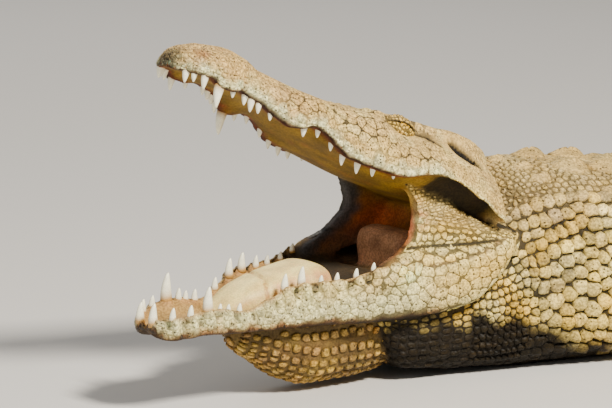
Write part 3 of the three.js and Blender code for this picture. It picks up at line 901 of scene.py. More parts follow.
    def lobe(self, t: Array, v: Array) -> Array:
        """From 0 on the cracked flank to 1 on the smooth table and lobe at the skull's rear."""
        return ramp(t, 372, 425) * (1.0 - 0.6 * ramp(np.abs(v), 0.3, 0.0))

    def paint_outside(self, t: Array, v: Array, points: Array) -> Paint:
        """Dry sandy hide, dustier on top, with pale pitted lips, a greyer nose and painted shade.

        Args:
            t: millimetres back from the snout.
            v: place round the section.
            points: the same places in metres.

        Returns:
            Linear colours and wetness.
        """
        side = self.side_at(t, v)
        away, up = np.abs(side), self.top(t, side)
        over = up - curve(self.lip, t)
        pale = fall(over + 5 * ripple(points, 30, 15), 5, 22) * fall(t, 380, 430)
        blot = ramp(ripple(points, 13, 16), 0.3, 0.8)
        ruddy = (0.1 + 0.2 * ramp(ripple(points, 36, 18), 0.0, 0.9)) * fall(t, 170, 260)
        return layered(
            len(t), Tint.SAND,
            (Tint.DUST, 0.4 + 0.4 * ripple(points, 120, 11)),
            (Tint.CREAM, 0.3 * ramp(ripple(points, 42, 14), 0.0, 0.8)),
            (Tint.GOLD, 0.3 * fall(over, 10, 60) * ramp(t, 120, 300)),
            (Tint.LIP, 0.85 * pale),
            (Tint.OLIVE, 0.45 * blot * pale),
            # lobe's lower rim: own cream colour, partly painted light on a face that turns down
            (Tint.CREAM, 0.8 * fall(over, 3, 13) * ramp(t, 380, 440)),
            (Tint.BARK, 0.3 * blot * fall(t, 20, 110)),
            (Tint.RUST, ruddy * (1 - pale)),
            (Tint.GUM, 0.5 * hill(t, 17, 8) * hill(away, 34, 9)),
            # painted shade on the snout's front face
            (Tint.DARK, 0.85 * fall(t + 0.2 * np.minimum(away, 40), -9, 7)),
            # painted shade along the lip's lower edge
            (Tint.DARK, 0.5 * fall(over, 0, 4) * fall(t, 300, 380)),
            (Tint.GOLD, 0.5 * hill(t, 350, 24) * hill(away, 68, 14)),
            # painted shade in the ear's slit and the crease behind the eye
            (0.2 * Tint.DARK.linear, ramp(self.slits(t, away, up), 0.2, 0.55)),
        ), np.full(len(t), 0.05)

    def paint_roof(self, t: Array, v: Array, points: Array) -> Paint:
        """Olive palate in painted shade, dark gums that are red in places along the tooth row.

        Args:
            t: millimetres back from the snout.
            v: place round the section.
            points: the same places in metres.

        Returns:
            Linear colours and wetness.
        """
        side, width = np.abs(self.side_at(t, v)), curve(self.half_width, t)
        inner = width - side
        gum = np.clip(1.3 * hill(inner, 7, 11) + 0.35 * ripple(points, 24, 13), 0, 1) \
            * fall(inner, 20, 30) * fall(t, 350, 400)
        hollow = hill(side, width - 30.0, 30.0) * ramp(t, 393, 398) * fall(t, 498, 508)
        return layered(
            # the palate's tint is darkened as painted shade
            len(t), Tint.PALATE,
            (0.6 * Tint.MUD.linear, 0.15 + 0.3 * ripple(points, 60, 12)),
            (Tint.RUST, 0.35 * ramp(ripple(points, 34, 17), 0.2, 0.9)),
            (0.55 * Tint.GUM.linear, 0.92 * gum),
            (Tint.EMBER, 0.5 * gum * ramp(ripple(points, 18, 18), 0.35, 0.9)),
            (Tint.SAND, ramp(t, 504, 514)),
            # painted shade in the hollow under the skull's rear lobe
            (0.3 * Tint.DARK.linear, 0.92 * np.clip(1.5 * hollow, 0, 1) * ramp(inner, 3, 10)),
        ), np.full(len(t), 0.2)

    def patches(self) -> list[Patch]:
        """The outer surface and the palate.

        Returns:
            The patches.
        """
        span, width = (self.front + 0.2, self.back), (-1.0, 1.0)
        return [
            Patch(self.outside, span, width, self.paint_outside, lambda t: self.head.upper(
                t, 0.0 * t, 0.5 * (curve(self.crown, t) + curve(self.palate, t))),
                groove=lambda t, v: 1.0 - 0.9 * self.mosaic(t, v)),
            Patch(self.roof, span, width, self.paint_roof, bare=1.0)]

    def shell(self) -> Shell:
        """Closed shell of the whole skull."""
        t = np.linspace(0, 1, 200) ** 1.15 * (self.back - self.front) + self.front
        return walled(self.outside, self.roof, t, np.linspace(-1, 1, 97))


@dataclass(frozen=True)
class Mandible:
    """The lower jaw: a trough whose two walls stand beside the floor of the mouth."""

    head: HeadFrame
    back: float = 575.0
    half_width: Knots = (
        (0, 3), (3, 16), (10, 30), (24, 42), (45, 51), (62, 55), (85, 54), (105, 56),
        (150, 63), (200, 75), (300, 97), (400, 119), (460, 133), (505, 139), (535, 128),
        (560, 100), (575, 70))
    rim: Knots = (
        (0, -4), (13, 3), (40, 2), (66, 5), (96, -2), (128, -11), (159, -4), (200, 8),
        (254, 2), (281, 0), (330, 6), (360, 4), (391, -8), (435, -10), (482, -4), (520, 2),
        (575, 0))
    keel: Knots = (
        (0, -10), (6, -22), (15, -29), (60, -31), (95, -38), (156, -48), (239, -60),
        (312, -73), (400, -81), (455, -79), (495, -58), (530, -32), (560, -20), (575, -12))

    def section(self, t: Array) -> Array:
        """Control rings of shape (n, 14, 2): up the right wall, over the rim, down to the floor.

        Args:
            t: millimetres back from the chin.
        """
        width, rim, keel = (curve(k, t) for k in (self.half_width, self.rim, self.keel))
        inner = np.maximum(width - 15.0, 0.4 * width)
        depth = rim - keel
        floor = rim - np.minimum(24.0, 0.5 * depth)
        zero = np.zeros_like(width)
        right = [
            (0.8 * width, keel),
            (0.98 * width, keel + 0.25 * depth),
            (width, rim - 0.3 * depth),
            (width - np.minimum(5.0, 0.2 * width), rim),
            (inner, rim - 0.1 * depth),
            (0.6 * inner, floor + 1.0),
        ]
        left = [(-y, z) for y, z in reversed(right)]
        ring = [(zero, keel + 0.1 * depth), *right, (zero, floor), *left]
        return np.stack([np.stack(pair, axis=-1) for pair in ring], axis=1)

    def surface(self, t: Array, v: Array) -> Array:
        """Metres of the ring's point v, from 0 under the chin over the left wall and round.

        Args:
            t: millimetres back from the chin.
            v: place round the section.

        Returns:
            Points in metres.
        """
        flat_t, flat_v = np.ravel(t), np.ravel(v)
        ring = closed_spline(self.section(flat_t), flat_v)
        return self.head.lower(flat_t, ring[:, 0], ring[:, 1]).reshape(*np.shape(t), 3)

    def paint_outside(self, t: Array, v: Array, points: Array) -> Paint:
        """Pale cream wall, golden towards the joint, with a rusty stain along the keel.

        Args:
            t: millimetres back from the chin.
            v: place round the section.
            points: the same places in metres.

        Returns:
            Linear colours and wetness.
        """
        _, side, up = self.head.in_lower(points)
        low, high = up - curve(self.keel, t), curve(self.rim, t) - up
        front = fall(t, 120, 300)
        blot = ramp(ripple(points, 14, 24), 0.2, 0.8)
        ragged = low + 4 * ripple(points, 26, 26)
        stain = fall(ragged, 5, 17) * fall(t, 380, 440)
        return layered(
            len(t), Tint.CREAM,
            (Tint.SAND, 0.3 + 0.4 * ripple(points, 70, 21)),
            (Tint.LIP, 0.6 * hill(low, 24, 20) * fall(t, 330, 450)),
            (Tint.OLIVE, (0.2 + 0.4 * front) * blot),
            (Tint.OCHRE, 0.25 * front * ramp(ripple(points, 22, 25), 0.2, 0.9)),
            (Tint.GOLD, 0.7 * ramp(t, 370, 470) * hill(high, 26, 22)),
            (Tint.GOLD, 0.25 * ramp(t, 330, 420)),
            (Tint.CREAM, 0.8 * fall(low, 6, 16) * ramp(t, 380, 450)),
            (0.6 * Tint.RUST.linear, 0.95 * stain),
            # painted shade on the jaw's underside, near black
            (0.2 * Tint.MUD.linear, 0.95 * fall(ragged, 1, 9) * fall(t, 400, 450)),
            # painted shade under the middle of the chin
            (0.4 * Tint.MUD.linear, 0.75 * fall(np.abs(side), 10, 40) * stain),
            (Tint.GUM, 0.4 * fall(high, 1, 5) * fall(t, 330, 390)),
        ), 0.1 + 0.4 * stain

    def paint_floor(self, t: Array, v: Array, points: Array) -> Paint:
        """Cream floor of the mouth, pinkish gums at its sides, painted shade behind the tongue.

        Args:
            t: millimetres back from the chin.
            v: place round the section.
            points: the same places in metres.

        Returns:
            Linear colours and wetness.
        """
        inner = curve(self.half_width, t) - np.abs(self.head.in_lower(points)[1])
        gum = np.clip(hill(inner, 13, 6) * (0.5 + 0.5 * ripple(points, 24, 23)), 0, 1)
        rear = ramp(t, 262, 310) * ramp(inner, 4, 14)
        return layered(
            len(t), Tint.MOUTH,
            (Tint.OCHRE, 0.25 + 0.25 * ripple(points, 50, 22)),
            (Tint.PINK, 0.25 * gum),
            # painted shade behind the tongue, brown rather than dark at the rear
            (0.4 * Tint.DARK.linear, 0.93 * rear),
            (Tint.MUD, 0.8 * ramp(t, 350, 390)),
        ), 0.4 - 0.3 * rear

    def patches(self) -> list[Patch]:
        """Left wall, right wall and the mouth's floor.

        Returns:
            The patches.
        """
        span = (0.4, 560.0)
        wall = 4.0 / 14.0
        sides = [Patch(self.surface, span, v, self.paint_outside, lambda t: self.head.lower(
            t, 0.0 * t, 0.5 * (curve(self.rim, t) + curve(self.keel, t)) - 12.0),
            groove=stepped(1.0, (-0.75, 190, 330))) for v in ((0.0, wall), (1.0 - wall, 1.0))]
        return [*sides, Patch(self.surface, span, (wall, 1.0 - wall), self.paint_floor, bare=1.0)]

    def shell(self) -> Shell:
        """Closed shell of the whole mandible."""
        return ringed(self.surface, np.linspace(0, 1, 200) ** 1.2 * self.back, 112, 1.0)


@dataclass(frozen=True)
class Cheeks:
    """Skin and muscle fanned round the joint, from 0 at the mandible to 1 at the skull."""

    head: HeadFrame
    core: float = 6.0
    edge: Knots = (
        (-0.2, 240), (0, 222), (0.12, 186), (0.3, 164), (0.55, 160), (0.8, 170), (0.95, 186),
        (1.2, 196))
    inset: Knots = ((-0.2, 0), (0.15, 1), (0.5, 4), (0.84, 7), (0.93, 12), (1.06, 30), (1.3, 44))
    throat: Knots = ((-0.2, 140), (0, 120), (0.3, 92), (0.7, 88), (1.2, 100))
    outer_side: Knots = ((0, 130), (60, 130), (110, 112), (150, 98), (190, 98), (240, 94))
    inner_side: Knots = ((80, 58), (110, 66), (150, 74), (190, 78), (240, 76))
    folds: float = 6.5  # pleats between the two jaws
    fold_depth: float = 3.0

    @property
    def gape(self) -> float:
        """Angle between the jaws."""
        return self.head.upper_pitch - self.head.lower_pitch

    def at(self, fan: Array, reach: Array, side: Array) -> Array:
        """Metres of a point reach from the joint in the slice at fan."""
        angle = self.head.lower_pitch + self.gape * fan
        return self.head.point(reach * np.cos(angle), side, reach * np.sin(angle), 0.0)

    def under(self, fan: Array, share: Array) -> Array:
        """The fan's place measured from the fold under the skull, which drops near the joint."""
        return fan + 0.24 * fall(share, 0.2, 0.66)

    def pleat(self, fan: Array, share: Array) -> Array:
        """From 0 on a pleat to 1 in the groove beside it."""
        return 0.5 - 0.5 * np.cos(TAU * self.folds * fan + 0.6 * np.sin(3.0 * share))

    def outer_at(self, fan: Array, share: Array) -> tuple[Array, Array]:
        """Reach and side of the outer surface, share 0 at the joint and 1 at the free edge.

        Args:
            fan: place between the jaws.
            share: place between joint and free edge.

        Returns:
            Millimetres from the joint, and to the side.
        """
        ragged = 1.5 * np.sin(17.0 * fan + 2.0 * np.sin(11.0 * fan)) * ramp(share, 0.85, 1.0)
        reach = self.core + (curve(self.edge, fan) + ragged - self.core) * share
        depth = self.fold_depth * ramp(reach, 20, 70) * (1.0 - 0.4 * ramp(reach, 120, 160))
        side = curve(self.outer_side, reach) \
            - curve(self.inset, self.under(fan, share)) * ramp(reach, 0, 60)
        flush = 14.0 * fall(fan, -0.02, 0.16) * ramp(reach, 60, 120)
        return reach, side + flush - depth * self.pleat(fan, share) * ramp(fan, 0.05, 0.2)

    @staticmethod
    def far_edge(fan: Array, share: Array) -> Array:
        """How far the right cheek's free edge is drawn back, in millimetres."""
        return 14.0 * ramp(-share, 0.5, 1.0) * ramp(fan, 0.2, 0.5)

    def outer(self, fan: Array, share: Array) -> Array:
        """Outer surface: share from -1, the right free edge, through the joint to 1, the left.

        Args:
            fan: place between the jaws.
            share: place from the right edge to the left one.

        Returns:
            Points in metres.
        """
        reach, side = self.outer_at(fan, np.abs(share))
        reach = reach - self.far_edge(fan, share)
        return self.at(fan, reach, np.sign(share) * side)

    def inner(self, fan: Array, share: Array) -> Array:
        """Surface towards the mouth, which runs behind the throat between the two cheeks.

        Args:
            fan: place between the jaws.
            share: place from the right edge to the left one.

        Returns:
            Points in metres.
        """
        edge, throat = curve(self.edge, fan), curve(self.throat, fan)
        away = np.abs(share)
        flank = np.clip((away - 0.35) / 0.65, 0.0, 1.0)
        reach = throat + (edge - throat) * flank - self.far_edge(fan, share)
        side = curve(self.inner_side, reach) - 0.6 * curve(self.inset, fan)
        return self.at(fan, reach, np.sign(share) * side * np.minimum(away / 0.35, 1.0))

    def fold_line(self, points: Array) -> Array:
        """From 0 to 1 in the fold from the joint to the mouth's corner, where shade is painted.

        Args:
            points: places in metres, of shape (n, 3).

        Returns:
            One value for each point.
        """
        ahead, side, up = self.head.local(points, 0.0)
        reach = np.hypot(ahead, up)
        fan = (np.arctan2(up, ahead) - self.head.lower_pitch) / self.gape
        above = (fan - 0.17 + 0.09 * (1 - np.clip(reach / 175.0, 0, 1))) * self.gape * reach
        return hill(above, 0, 2.6) * ramp(reach, 34, 60) * fall(reach, 186, 200) \
            * ramp(np.abs(side), 70, 80)

    def paint_outside(self, fan: Array, share: Array, points: Array) -> Paint:
        """Grey-tan membrane above, golden scales below, a recess under the skull in painted shade.

        Args:
            fan: place between the jaws.
            share: place from the right edge to the left one.
            points: the same places in metres.

        Returns:
            Linear colours and wetness.
        """
        away = np.abs(share)
        edge = ramp(away, 0.86, 0.96)
        blot = 0.5 + 0.5 * ripple(points, 16, 33)
        return layered(
            len(fan), Tint.GOLD,
            (Tint.CREAM, 0.35 + 0.35 * ripple(points, 50, 31)),
            (Tint.DUST, 0.5 * ramp(fan, 0.45, 0.6)),
            # painted shade in the grooves between the pleats
            (Tint.MUD, 0.4 * self.pleat(fan, away) ** 6 * ramp(away, 0.1, 0.3)),
            (Tint.CREAM, 0.6 * edge * (1 - blot)),
            (Tint.EMBER, 0.7 * edge * blot * hill(fan, 0.62, 0.26)),
            (Tint.GOLD, 0.7 * ramp(away, 0.8, 0.95) * hill(fan, 0.92, 0.12)),
            # painted shade in the recess under the skull
            (0.35 * Tint.DARK.linear, 0.95 * ramp(self.under(fan, away), 0.97, 0.985)),
            # painted shade on the right cheek's free edge
            (Tint.SLATE, 0.9 * ramp(-share, 0.8, 0.9)),
        ), 0.1 + 0.2 * edge

    def paint_inside(self, fan: Array, share: Array, points: Array) -> Paint:
        """Olive lining, brown and red towards the throat, painted shade low in the corners.

        Args:
            fan: place between the jaws.
            share: place from the right edge to the left one.
            points: the same places in metres.

        Returns:
            Linear colours and wetness.
        """
        away = np.abs(share)
        red = hill(away, 0.5, 0.36) * hill(fan, 0.4, 0.34) * (0.8 + 0.4 * ripple(points, 40, 32))
        far = ramp(-share + 0.05 * ripple(points, 24, 36), 0.74, 0.86) * fall(fan, 0.85, 0.98)
        near = ramp(share, 0.86, 0.97)
        return layered(
            # the lining's base tint is darkened as painted shade
            len(fan), Tint.PALATE,
            (Tint.MUD, 0.3 + 0.3 * ripple(points, 40, 34)),
            (Tint.RUST, 0.6 * fall(fan, 0.5, 0.8)),
            (Tint.EMBER, np.clip(red, 0, 1)),
            # painted shade low in the corners
            (Tint.SLATE, 0.5 * fall(fan + 0.1 * ripple(points, 50, 35), -0.02, 0.26)),
            # painted shade on the right cheek's lining
            (Tint.SLATE, 0.9 * far),
            (Tint.GOLD, 0.7 * near * ramp(fan, 0.6, 0.85)),
            (Tint.PINK, 0.7 * near * hill(fan, 0.45, 0.25)),
        ), np.full(len(fan), 0.2)

    def patches(self) -> list[Patch]:
        """Both outer sides and the lining.

        Returns:
            The patches.
        """
        span = (-0.12, 1.1)
        sides = [Patch(self.outer, span, v, self.paint_outside,
                       lambda fan: np.asarray(self.head.hinge),
                       groove=stepped(0.2, (0.25, 0.4, 0.55)))
                 for v in ((0.02, 1.0), (-1.0, -0.02))]
        return [*sides, Patch(self.inner, span, (-0.98, 0.98), self.paint_inside, bare=1.0)]

    def shell(self) -> Shell:
        """Closed shell of both cheeks and the wall behind the throat."""
        return walled(self.outer, self.inner, np.linspace(-0.17, 1.2, 140),
                      np.linspace(-1, 1, 161))


def oval(angle: Array, half_width: Array, top: Array, bottom: Array,
         squareness: float = 0.8) -> tuple[Array, Array]:
    """Side and height on an oval from bottom to top, squarer the further squareness is below 1."""
    side = half_width * signed_power(np.cos(angle), squareness)
    return side, (top + bottom) / 2 + (top - bottom) / 2 * signed_power(np.sin(angle), squareness)


@dataclass(frozen=True)
class Pouch:
    """The sagging skin between the jaw's two sides, pleated lengthwise, resting on the floor."""

    head: HeadFrame
    back: float = 112.0
    front: float = 412.0
    pleats: int = 22
    pleat_depth: float = 2.6
    bottom: Knots = (
        (112, 62), (120, 50), (142, 28), (172, 14), (210, 8), (290, 8), (330, 20), (368, 46),
        (400, 68), (412, 85))
    top: Knots = ((112, 72), (150, 118), (250, 128), (400, 128), (412, 100))
    half_width: Knots = (
        (112, 8), (120, 24), (142, 42), (175, 54), (230, 58), (300, 54), (360, 42), (400, 24),
        (412, 8))

    def surface(self, x: Array, angle: Array) -> Array:
        """Metres of the pouch's skin x ahead of the joint, at an angle round its section.

        Args:
            x: millimetres ahead of the joint.
            angle: place round the section.

        Returns:
            Points in metres.
        """
        width, top, bottom = (curve(k, x) for k in (self.half_width, self.top, self.bottom))
        pleat = 0.5 - 0.5 * np.cos(self.pleats * angle)
        shrink = self.pleat_depth * pleat * ramp(width, 12, 34)
        side, z = oval(angle, width - shrink, top - shrink, bottom + shrink)
        z = np.maximum(z, 0.4)
        return self.head.point(x, side, z - self.head.hinge[2] / MM, 0.0)

    def paint(self, x: Array, angle: Array, points: Array) -> Paint:
        """Wet golden brown, dark between the pleats, with painted shade under the jaw.

        Args:
            x: millimetres ahead of the joint.
            angle: place round the section.
            points: the same places in metres.

        Returns:
            Linear colours and wetness.
        """
        return layered(
            len(x), Tint.OCHRE,
            (Tint.GOLD, 0.4 + 0.4 * ripple(points, 36, 41)),
            (Tint.MUD, 0.3 + 0.25 * ripple(points, 90, 42)),
            # painted shade high on the pouch, under the jaw
            (Tint.DARK, 0.7 * ramp(points[:, 2] / MM, 78, 112)),
        ), np.full(len(x), 0.6)

    def patches(self) -> list[Patch]:
        """The lower three quarters of the pouch, which show below the jaw.

        Returns:
            The patch.
        """
        reach = 0.72 * math.pi
        return [Patch(
            self.surface, (113.0, 411.0), (-math.pi / 2 - reach, -math.pi / 2 + reach), self.paint,
            lambda x: self.head.point(x, 0.0 * x, 0.5 * (curve(self.top, x) + curve(
                self.bottom, x)) - self.head.hinge[2] / MM, 0.0))]

    def shell(self) -> Shell:
        """Closed shell of the pouch."""
        return ringed(self.surface, np.linspace(self.back, self.front, 110), 176)


@dataclass(frozen=True)
class MouthPad:
    """A soft cushion on the floor of the mouth: the tongue, or the fold before the throat."""

    head: HeadFrame
    front: float
    back: float
    half_width: Knots
    top: Knots
    bottom: float
    tint: Tint
    square: float = 0.8  # 1 for an elliptic section, less for a squarer one
    crease: float = 0.0  # position of a fold across it

    def surface(self, t: Array, angle: Array) -> Array:
        """Metres of the pad t back from the jaw's tip, at an angle round its section.

        Args:
            t: millimetres back from the jaw's tip.
            angle: place round the section.

        Returns:
            Points in metres.
        """
        fold = 2.5 * hill(t + 14.0 * np.cos(angle), self.crease, 4.0)
        side, up = oval(angle, curve(self.half_width, t), curve(self.top, t) - fold, self.bottom,
                        self.square)
        return self.head.lower(t, side, up)

    def paint(self, t: Array, angle: Array, points: Array) -> Paint:
        """The pad's own tint, browner in patches, painted shade at its sides and in the crease.

        Args:
            t: millimetres back from the jaw's tip.
            angle: place round the section.
            points: the same places in metres.

        Returns:
            Linear colours and wetness.
        """
        slant = t + 14.0 * np.cos(angle) - self.crease
        # flank: how much painted shade the pad's sides get, more behind the crease
        flank = ramp(np.abs(np.cos(angle)), 0.75 - 0.3 * ramp(slant, 0, 30), 1.0)
        flank = flank * (0.25 + 0.4 * ramp(slant, 0, 20) * (self.crease > 0))
        return layered(
            len(t), self.tint,
            (Tint.OCHRE if self.tint is Tint.TONGUE else Tint.MUD,
             0.2 + 0.25 * ripple(points, 40, 51)),
            # painted shade in the crease
            (Tint.RUST, 0.7 * hill(slant, 0, 3.0) * ramp(ripple(points, 30, 53), -0.6, 0)),
            # painted shade on the pad's sides
            (Tint.PINK, flank * (0.6 + 0.4 * ripple(points, 20, 52))),
        ), np.full(len(t), 0.3)

    def patches(self) -> list[Patch]:
        """The pad's whole surface."""
        return [Patch(self.surface, (self.front, self.back), (0.0, TAU), self.paint, bare=1.0,
                      rounds=True)]

    def shell(self, rows: int = 60, columns: int = 64) -> Shell:
        """Closed shell of the pad."""
        return ringed(self.surface, np.linspace(self.front, self.back, rows), columns)


def tongue_of(head: HeadFrame) -> MouthPad:
    """The tongue, broad and low between the lower teeth.

    Args:
        head: the head's frame.

    Returns:
        The pad.
    """
    return MouthPad(
        head, 104.0, 286.0,
        ((104, 6), (112, 20), (150, 34), (200, 42), (255, 48), (278, 45), (286, 34)),
        ((104, -16), (118, -8), (160, 9), (215, 15), (262, 15), (280, 9), (286, -2)),
        -32.0, Tint.TONGUE, crease=190.0)


def throat_valve_of(head: HeadFrame) -> MouthPad:
    """The fold that closes the throat.

    Args:
        head: the head's frame.

    Returns:
        The pad.
    """
    return MouthPad(
        head, 396.0, 490.0,
        ((396, 38), (399, 47), (406, 51), (420, 54), (490, 58)),
        ((396, -22), (398, 4), (402, 16), (410, 22), (424, 22), (450, 6), (490, -26)),
        -38.0, Tint.FLAP, 0.45)


# ---- body
@dataclass(frozen=True)
class Body:
    """Throat, neck, trunk and tail: one ring of hide carried along the spine."""

    spine: Spine
    folds: Callable[[Array], Array]  # of the folds behind the jaw joints
    start: float = -205.0
    end: float = 3225.0
    half_width: Knots = (
        (-205, 40), (-195, 62), (-170, 80), (-100, 98), (-40, 118), (0, 134), (60, 158),
        (120, 180), (170, 192), (300, 208), (450, 222), (700, 240), (1000, 246), (1200, 216),
        (1330, 172), (1450, 136), (1700, 104), (2000, 78), (2400, 50), (2800, 28), (3100, 14),
        (3225, 4))
    back: Knots = (
        (-205, 110), (-170, 130), (-100, 150), (-40, 190), (0, 240), (30, 262), (60, 270),
        (110, 272), (160, 266), (210, 262), (250, 255), (300, 249), (400, 262), (550, 300),
        (800, 332), (1000, 336), (1200, 312), (1330, 282), (1450, 248), (1700, 205),
        (2000, 166), (2400, 122), (2800, 80), (3100, 44), (3225, 10))
    belly: Knots = (
        (-205, 95), (-195, 70), (-180, 40), (-165, 22), (-130, 13), (-60, 8), (20, 0),
        (3225, 0))

    def surface(self, s: Array, angle: Array) -> Array:
        """Metres of the hide s back along the spine, at an angle round the section.

        The side is the half-width times a power of the cosine; the height rises from the waist
        to the back with a power of the sine, and falls to a belly that is held flat.

        Args:
            s: millimetres back along the spine.
            angle: place round the section.

        Returns:
            Points in metres.
        """
        width, back, belly = (curve(k, s) for k in (self.half_width, self.back, self.belly))
        waist = belly + (back - belly) * 0.42
        side = width * signed_power(np.cos(angle), 0.82 + 0.12 * ramp(s, 1350, 1900))
        rise = np.abs(np.sin(angle))
        high = waist + (back - waist) * rise**0.92
        low = np.maximum(waist - (waist - belly + 12.0) * rise**0.62, belly)
        return self.spine.point(s, side, np.where(np.sin(angle) >= 0, high, low))

    def paint(self, s: Array, angle: Array, points: Array) -> Paint:
        """Brown back with dark bars, golden flanks, pale belly, dark wet throat, painted shade.

        Args:
            s: millimetres back along the spine.
            angle: place round the section.
            points: the same places in metres.

        Returns:
            Linear colours and wetness.
        """
        rise = np.sin(angle)
        rear = ramp(s, 330, 620)
        upper = ramp(rise, 0.35 - 0.25 * rear, 0.85 - 0.3 * rear)
        bars = np.sin(s * TAU / 210.0 + 1.2 * ripple(points, 260, 63))
        patchy = ramp(bars + 0.8 * ripple(points, 70, 64), 0.35, 1.0)
        height = points[:, 2] / MM + 14 * ripple(points, 60, 65) + 0.28 * np.maximum(s, -60)
        damp = fall(height, 52, 84) * fall(s, 180, 420)
        # the low wet throat: muddy, and darkened further as painted shade under the jaw
        throat_mud_and_shade = mix(0.04 * flood(len(s), Tint.MUD), 0.12 * Tint.MUD.linear,
                  ramp(ripple(points, 34, 66), -0.2, 1))
        return layered(
            len(s), Tint.GOLD,
            (Tint.CREAM, 0.3 + 0.35 * ripple(points, 90, 61)),
            (Tint.OLIVE, 0.14 + 0.2 * ripple(points, 55, 62)),
            # painted shade in the grooves of the folds behind the jaw joints
            (0.5 * Tint.BARK.linear, 0.6 * ramp(-self.folds(points), 0.1, 0.8)),
            (Tint.BARK, 0.8 * upper * (0.45 + 0.55 * rear)),
            (Tint.DUST, 0.55 * upper * (1 - rear)),
            (Tint.DARK, 0.62 * patchy * rear * ramp(rise, -0.45, 0.1)),
            (Tint.BELLY, 0.85 * fall(rise, -0.75, -0.3) * ramp(s, 60, 300)),
            (throat_mud_and_shade, 0.99 * damp),
        ), 0.12 + 0.12 * damp

    def paint_at(self, s: float, angle: float, points: Array) -> Array:
        """Colours of points that stand on the hide at (s, angle)."""
        return self.paint(np.full(len(points), s), np.full(len(points), angle), points)[0]

    def patches(self) -> list[Patch]:
        """The whole hide from the throat to the tail's tip.

        Returns:
            The patch of the hide.
        """
        return [Patch(self.surface, (self.start, self.end), (-math.pi, math.pi), self.paint,
                      lambda s: self.spine.point(
                          s, 0.0 * s, 0.45 * (curve(self.back, s) + curve(self.belly, s))),
                      rounds=True,
                      groove=lambda s, a: 0.05 + 0.3 * ramp(np.sin(a), 0.6, 0.85))]

    def shell(self) -> Shell:
        """Closed shell of the hide."""
        return ringed(self.surface, np.concatenate((
            np.linspace(self.start, 420, 140), np.linspace(428, self.end, 330))), 120)


# ---- limbs
@dataclass(frozen=True)
class Tube:
    """A tapering limb along stations of (back, out, height, half-width, half-height)."""

    spine: Spine
    name: str
    stations: tuple[Station, ...]
    side: int

    def along(self, u: Array, column: int) -> Array:
        """One column of the stations, read at u by Catmull-Rom between them.

        Args:
            u: place along the stations, which stand at whole numbers.
            column: which value of the stations.

        Returns:
            The values.
        """
        table = np.asarray(self.stations, float)[:, column]
        last = len(table) - 1
        i = np.clip(np.floor(u), 0, last - 1).astype(int)
        return catmull_rom([table[np.clip(i + k, 0, last)] for k in (-1, 0, 1, 2)], u - i)

    def centre(self, u: Array) -> Array:
        """Metres of the limb's axis at u."""
        return self.spine.trunk_point(self.along(u, 0), self.side * self.along(u, 1),
                                      self.along(u, 2))

    def surface(self, u: Array, angle: Array) -> Array:
        """Metres of the limb's skin: an oval square to the axis, held above the floor.

        Args:
            u: place along the stations, which stand at whole numbers.
            angle: place round the section.

        Returns:
            Points in metres.
        """
        axis = unit(self.centre(u + 0.02) - self.centre(u - 0.02))
        across = unit(np.cross(np.array([0.0, 0.0, 1.0]), axis))
        lift = np.cross(axis, across)
        a, b = oval(angle, self.along(u, 3), self.along(u, 4), -self.along(u, 4), 0.92)
        points = self.centre(u) + MM * (a[..., None] * across + b[..., None] * lift)
        points[..., 2] = np.maximum(points[..., 2], ON_FLOOR * MM)
        return points

    def paint(self, u: Array, angle: Array, points: Array) -> Paint:
        """Brown above with dark blotches, golden and pale below.

        Args:
            u: place along the stations, which stand at whole numbers.
            angle: place round the section.
            points: the same places in metres.

        Returns:
            Linear colours and wetness.
        """
        rise = np.sin(angle)
        blotch = ramp(ripple(points, 80, 72), 0.25, 0.7)
        return layered(
            len(u), Tint.GOLD,
            (Tint.BARK, 0.45 + 0.3 * rise),
            (Tint.OLIVE, 0.25 + 0.2 * ripple(points, 60, 71)),
            (Tint.DARK, 0.45 * blotch * ramp(rise, -0.4, 0.3)),
            (Tint.BELLY, 0.5 * fall(rise, -0.9, -0.3)),
        ), np.full(len(u), 0.12)

    def patches(self) -> list[Patch]:
        """The limb's whole skin."""
        return [Patch(self.surface, (0.0, len(self.stations) - 1.0), (-math.pi, math.pi),
                      self.paint, self.centre, rounds=True)]

    def shell(self) -> Shell:
        """Closed shell of the limb."""
        last = len(self.stations) - 1
        return ringed(self.surface, np.linspace(0, last, 14 * last + 1), 56)


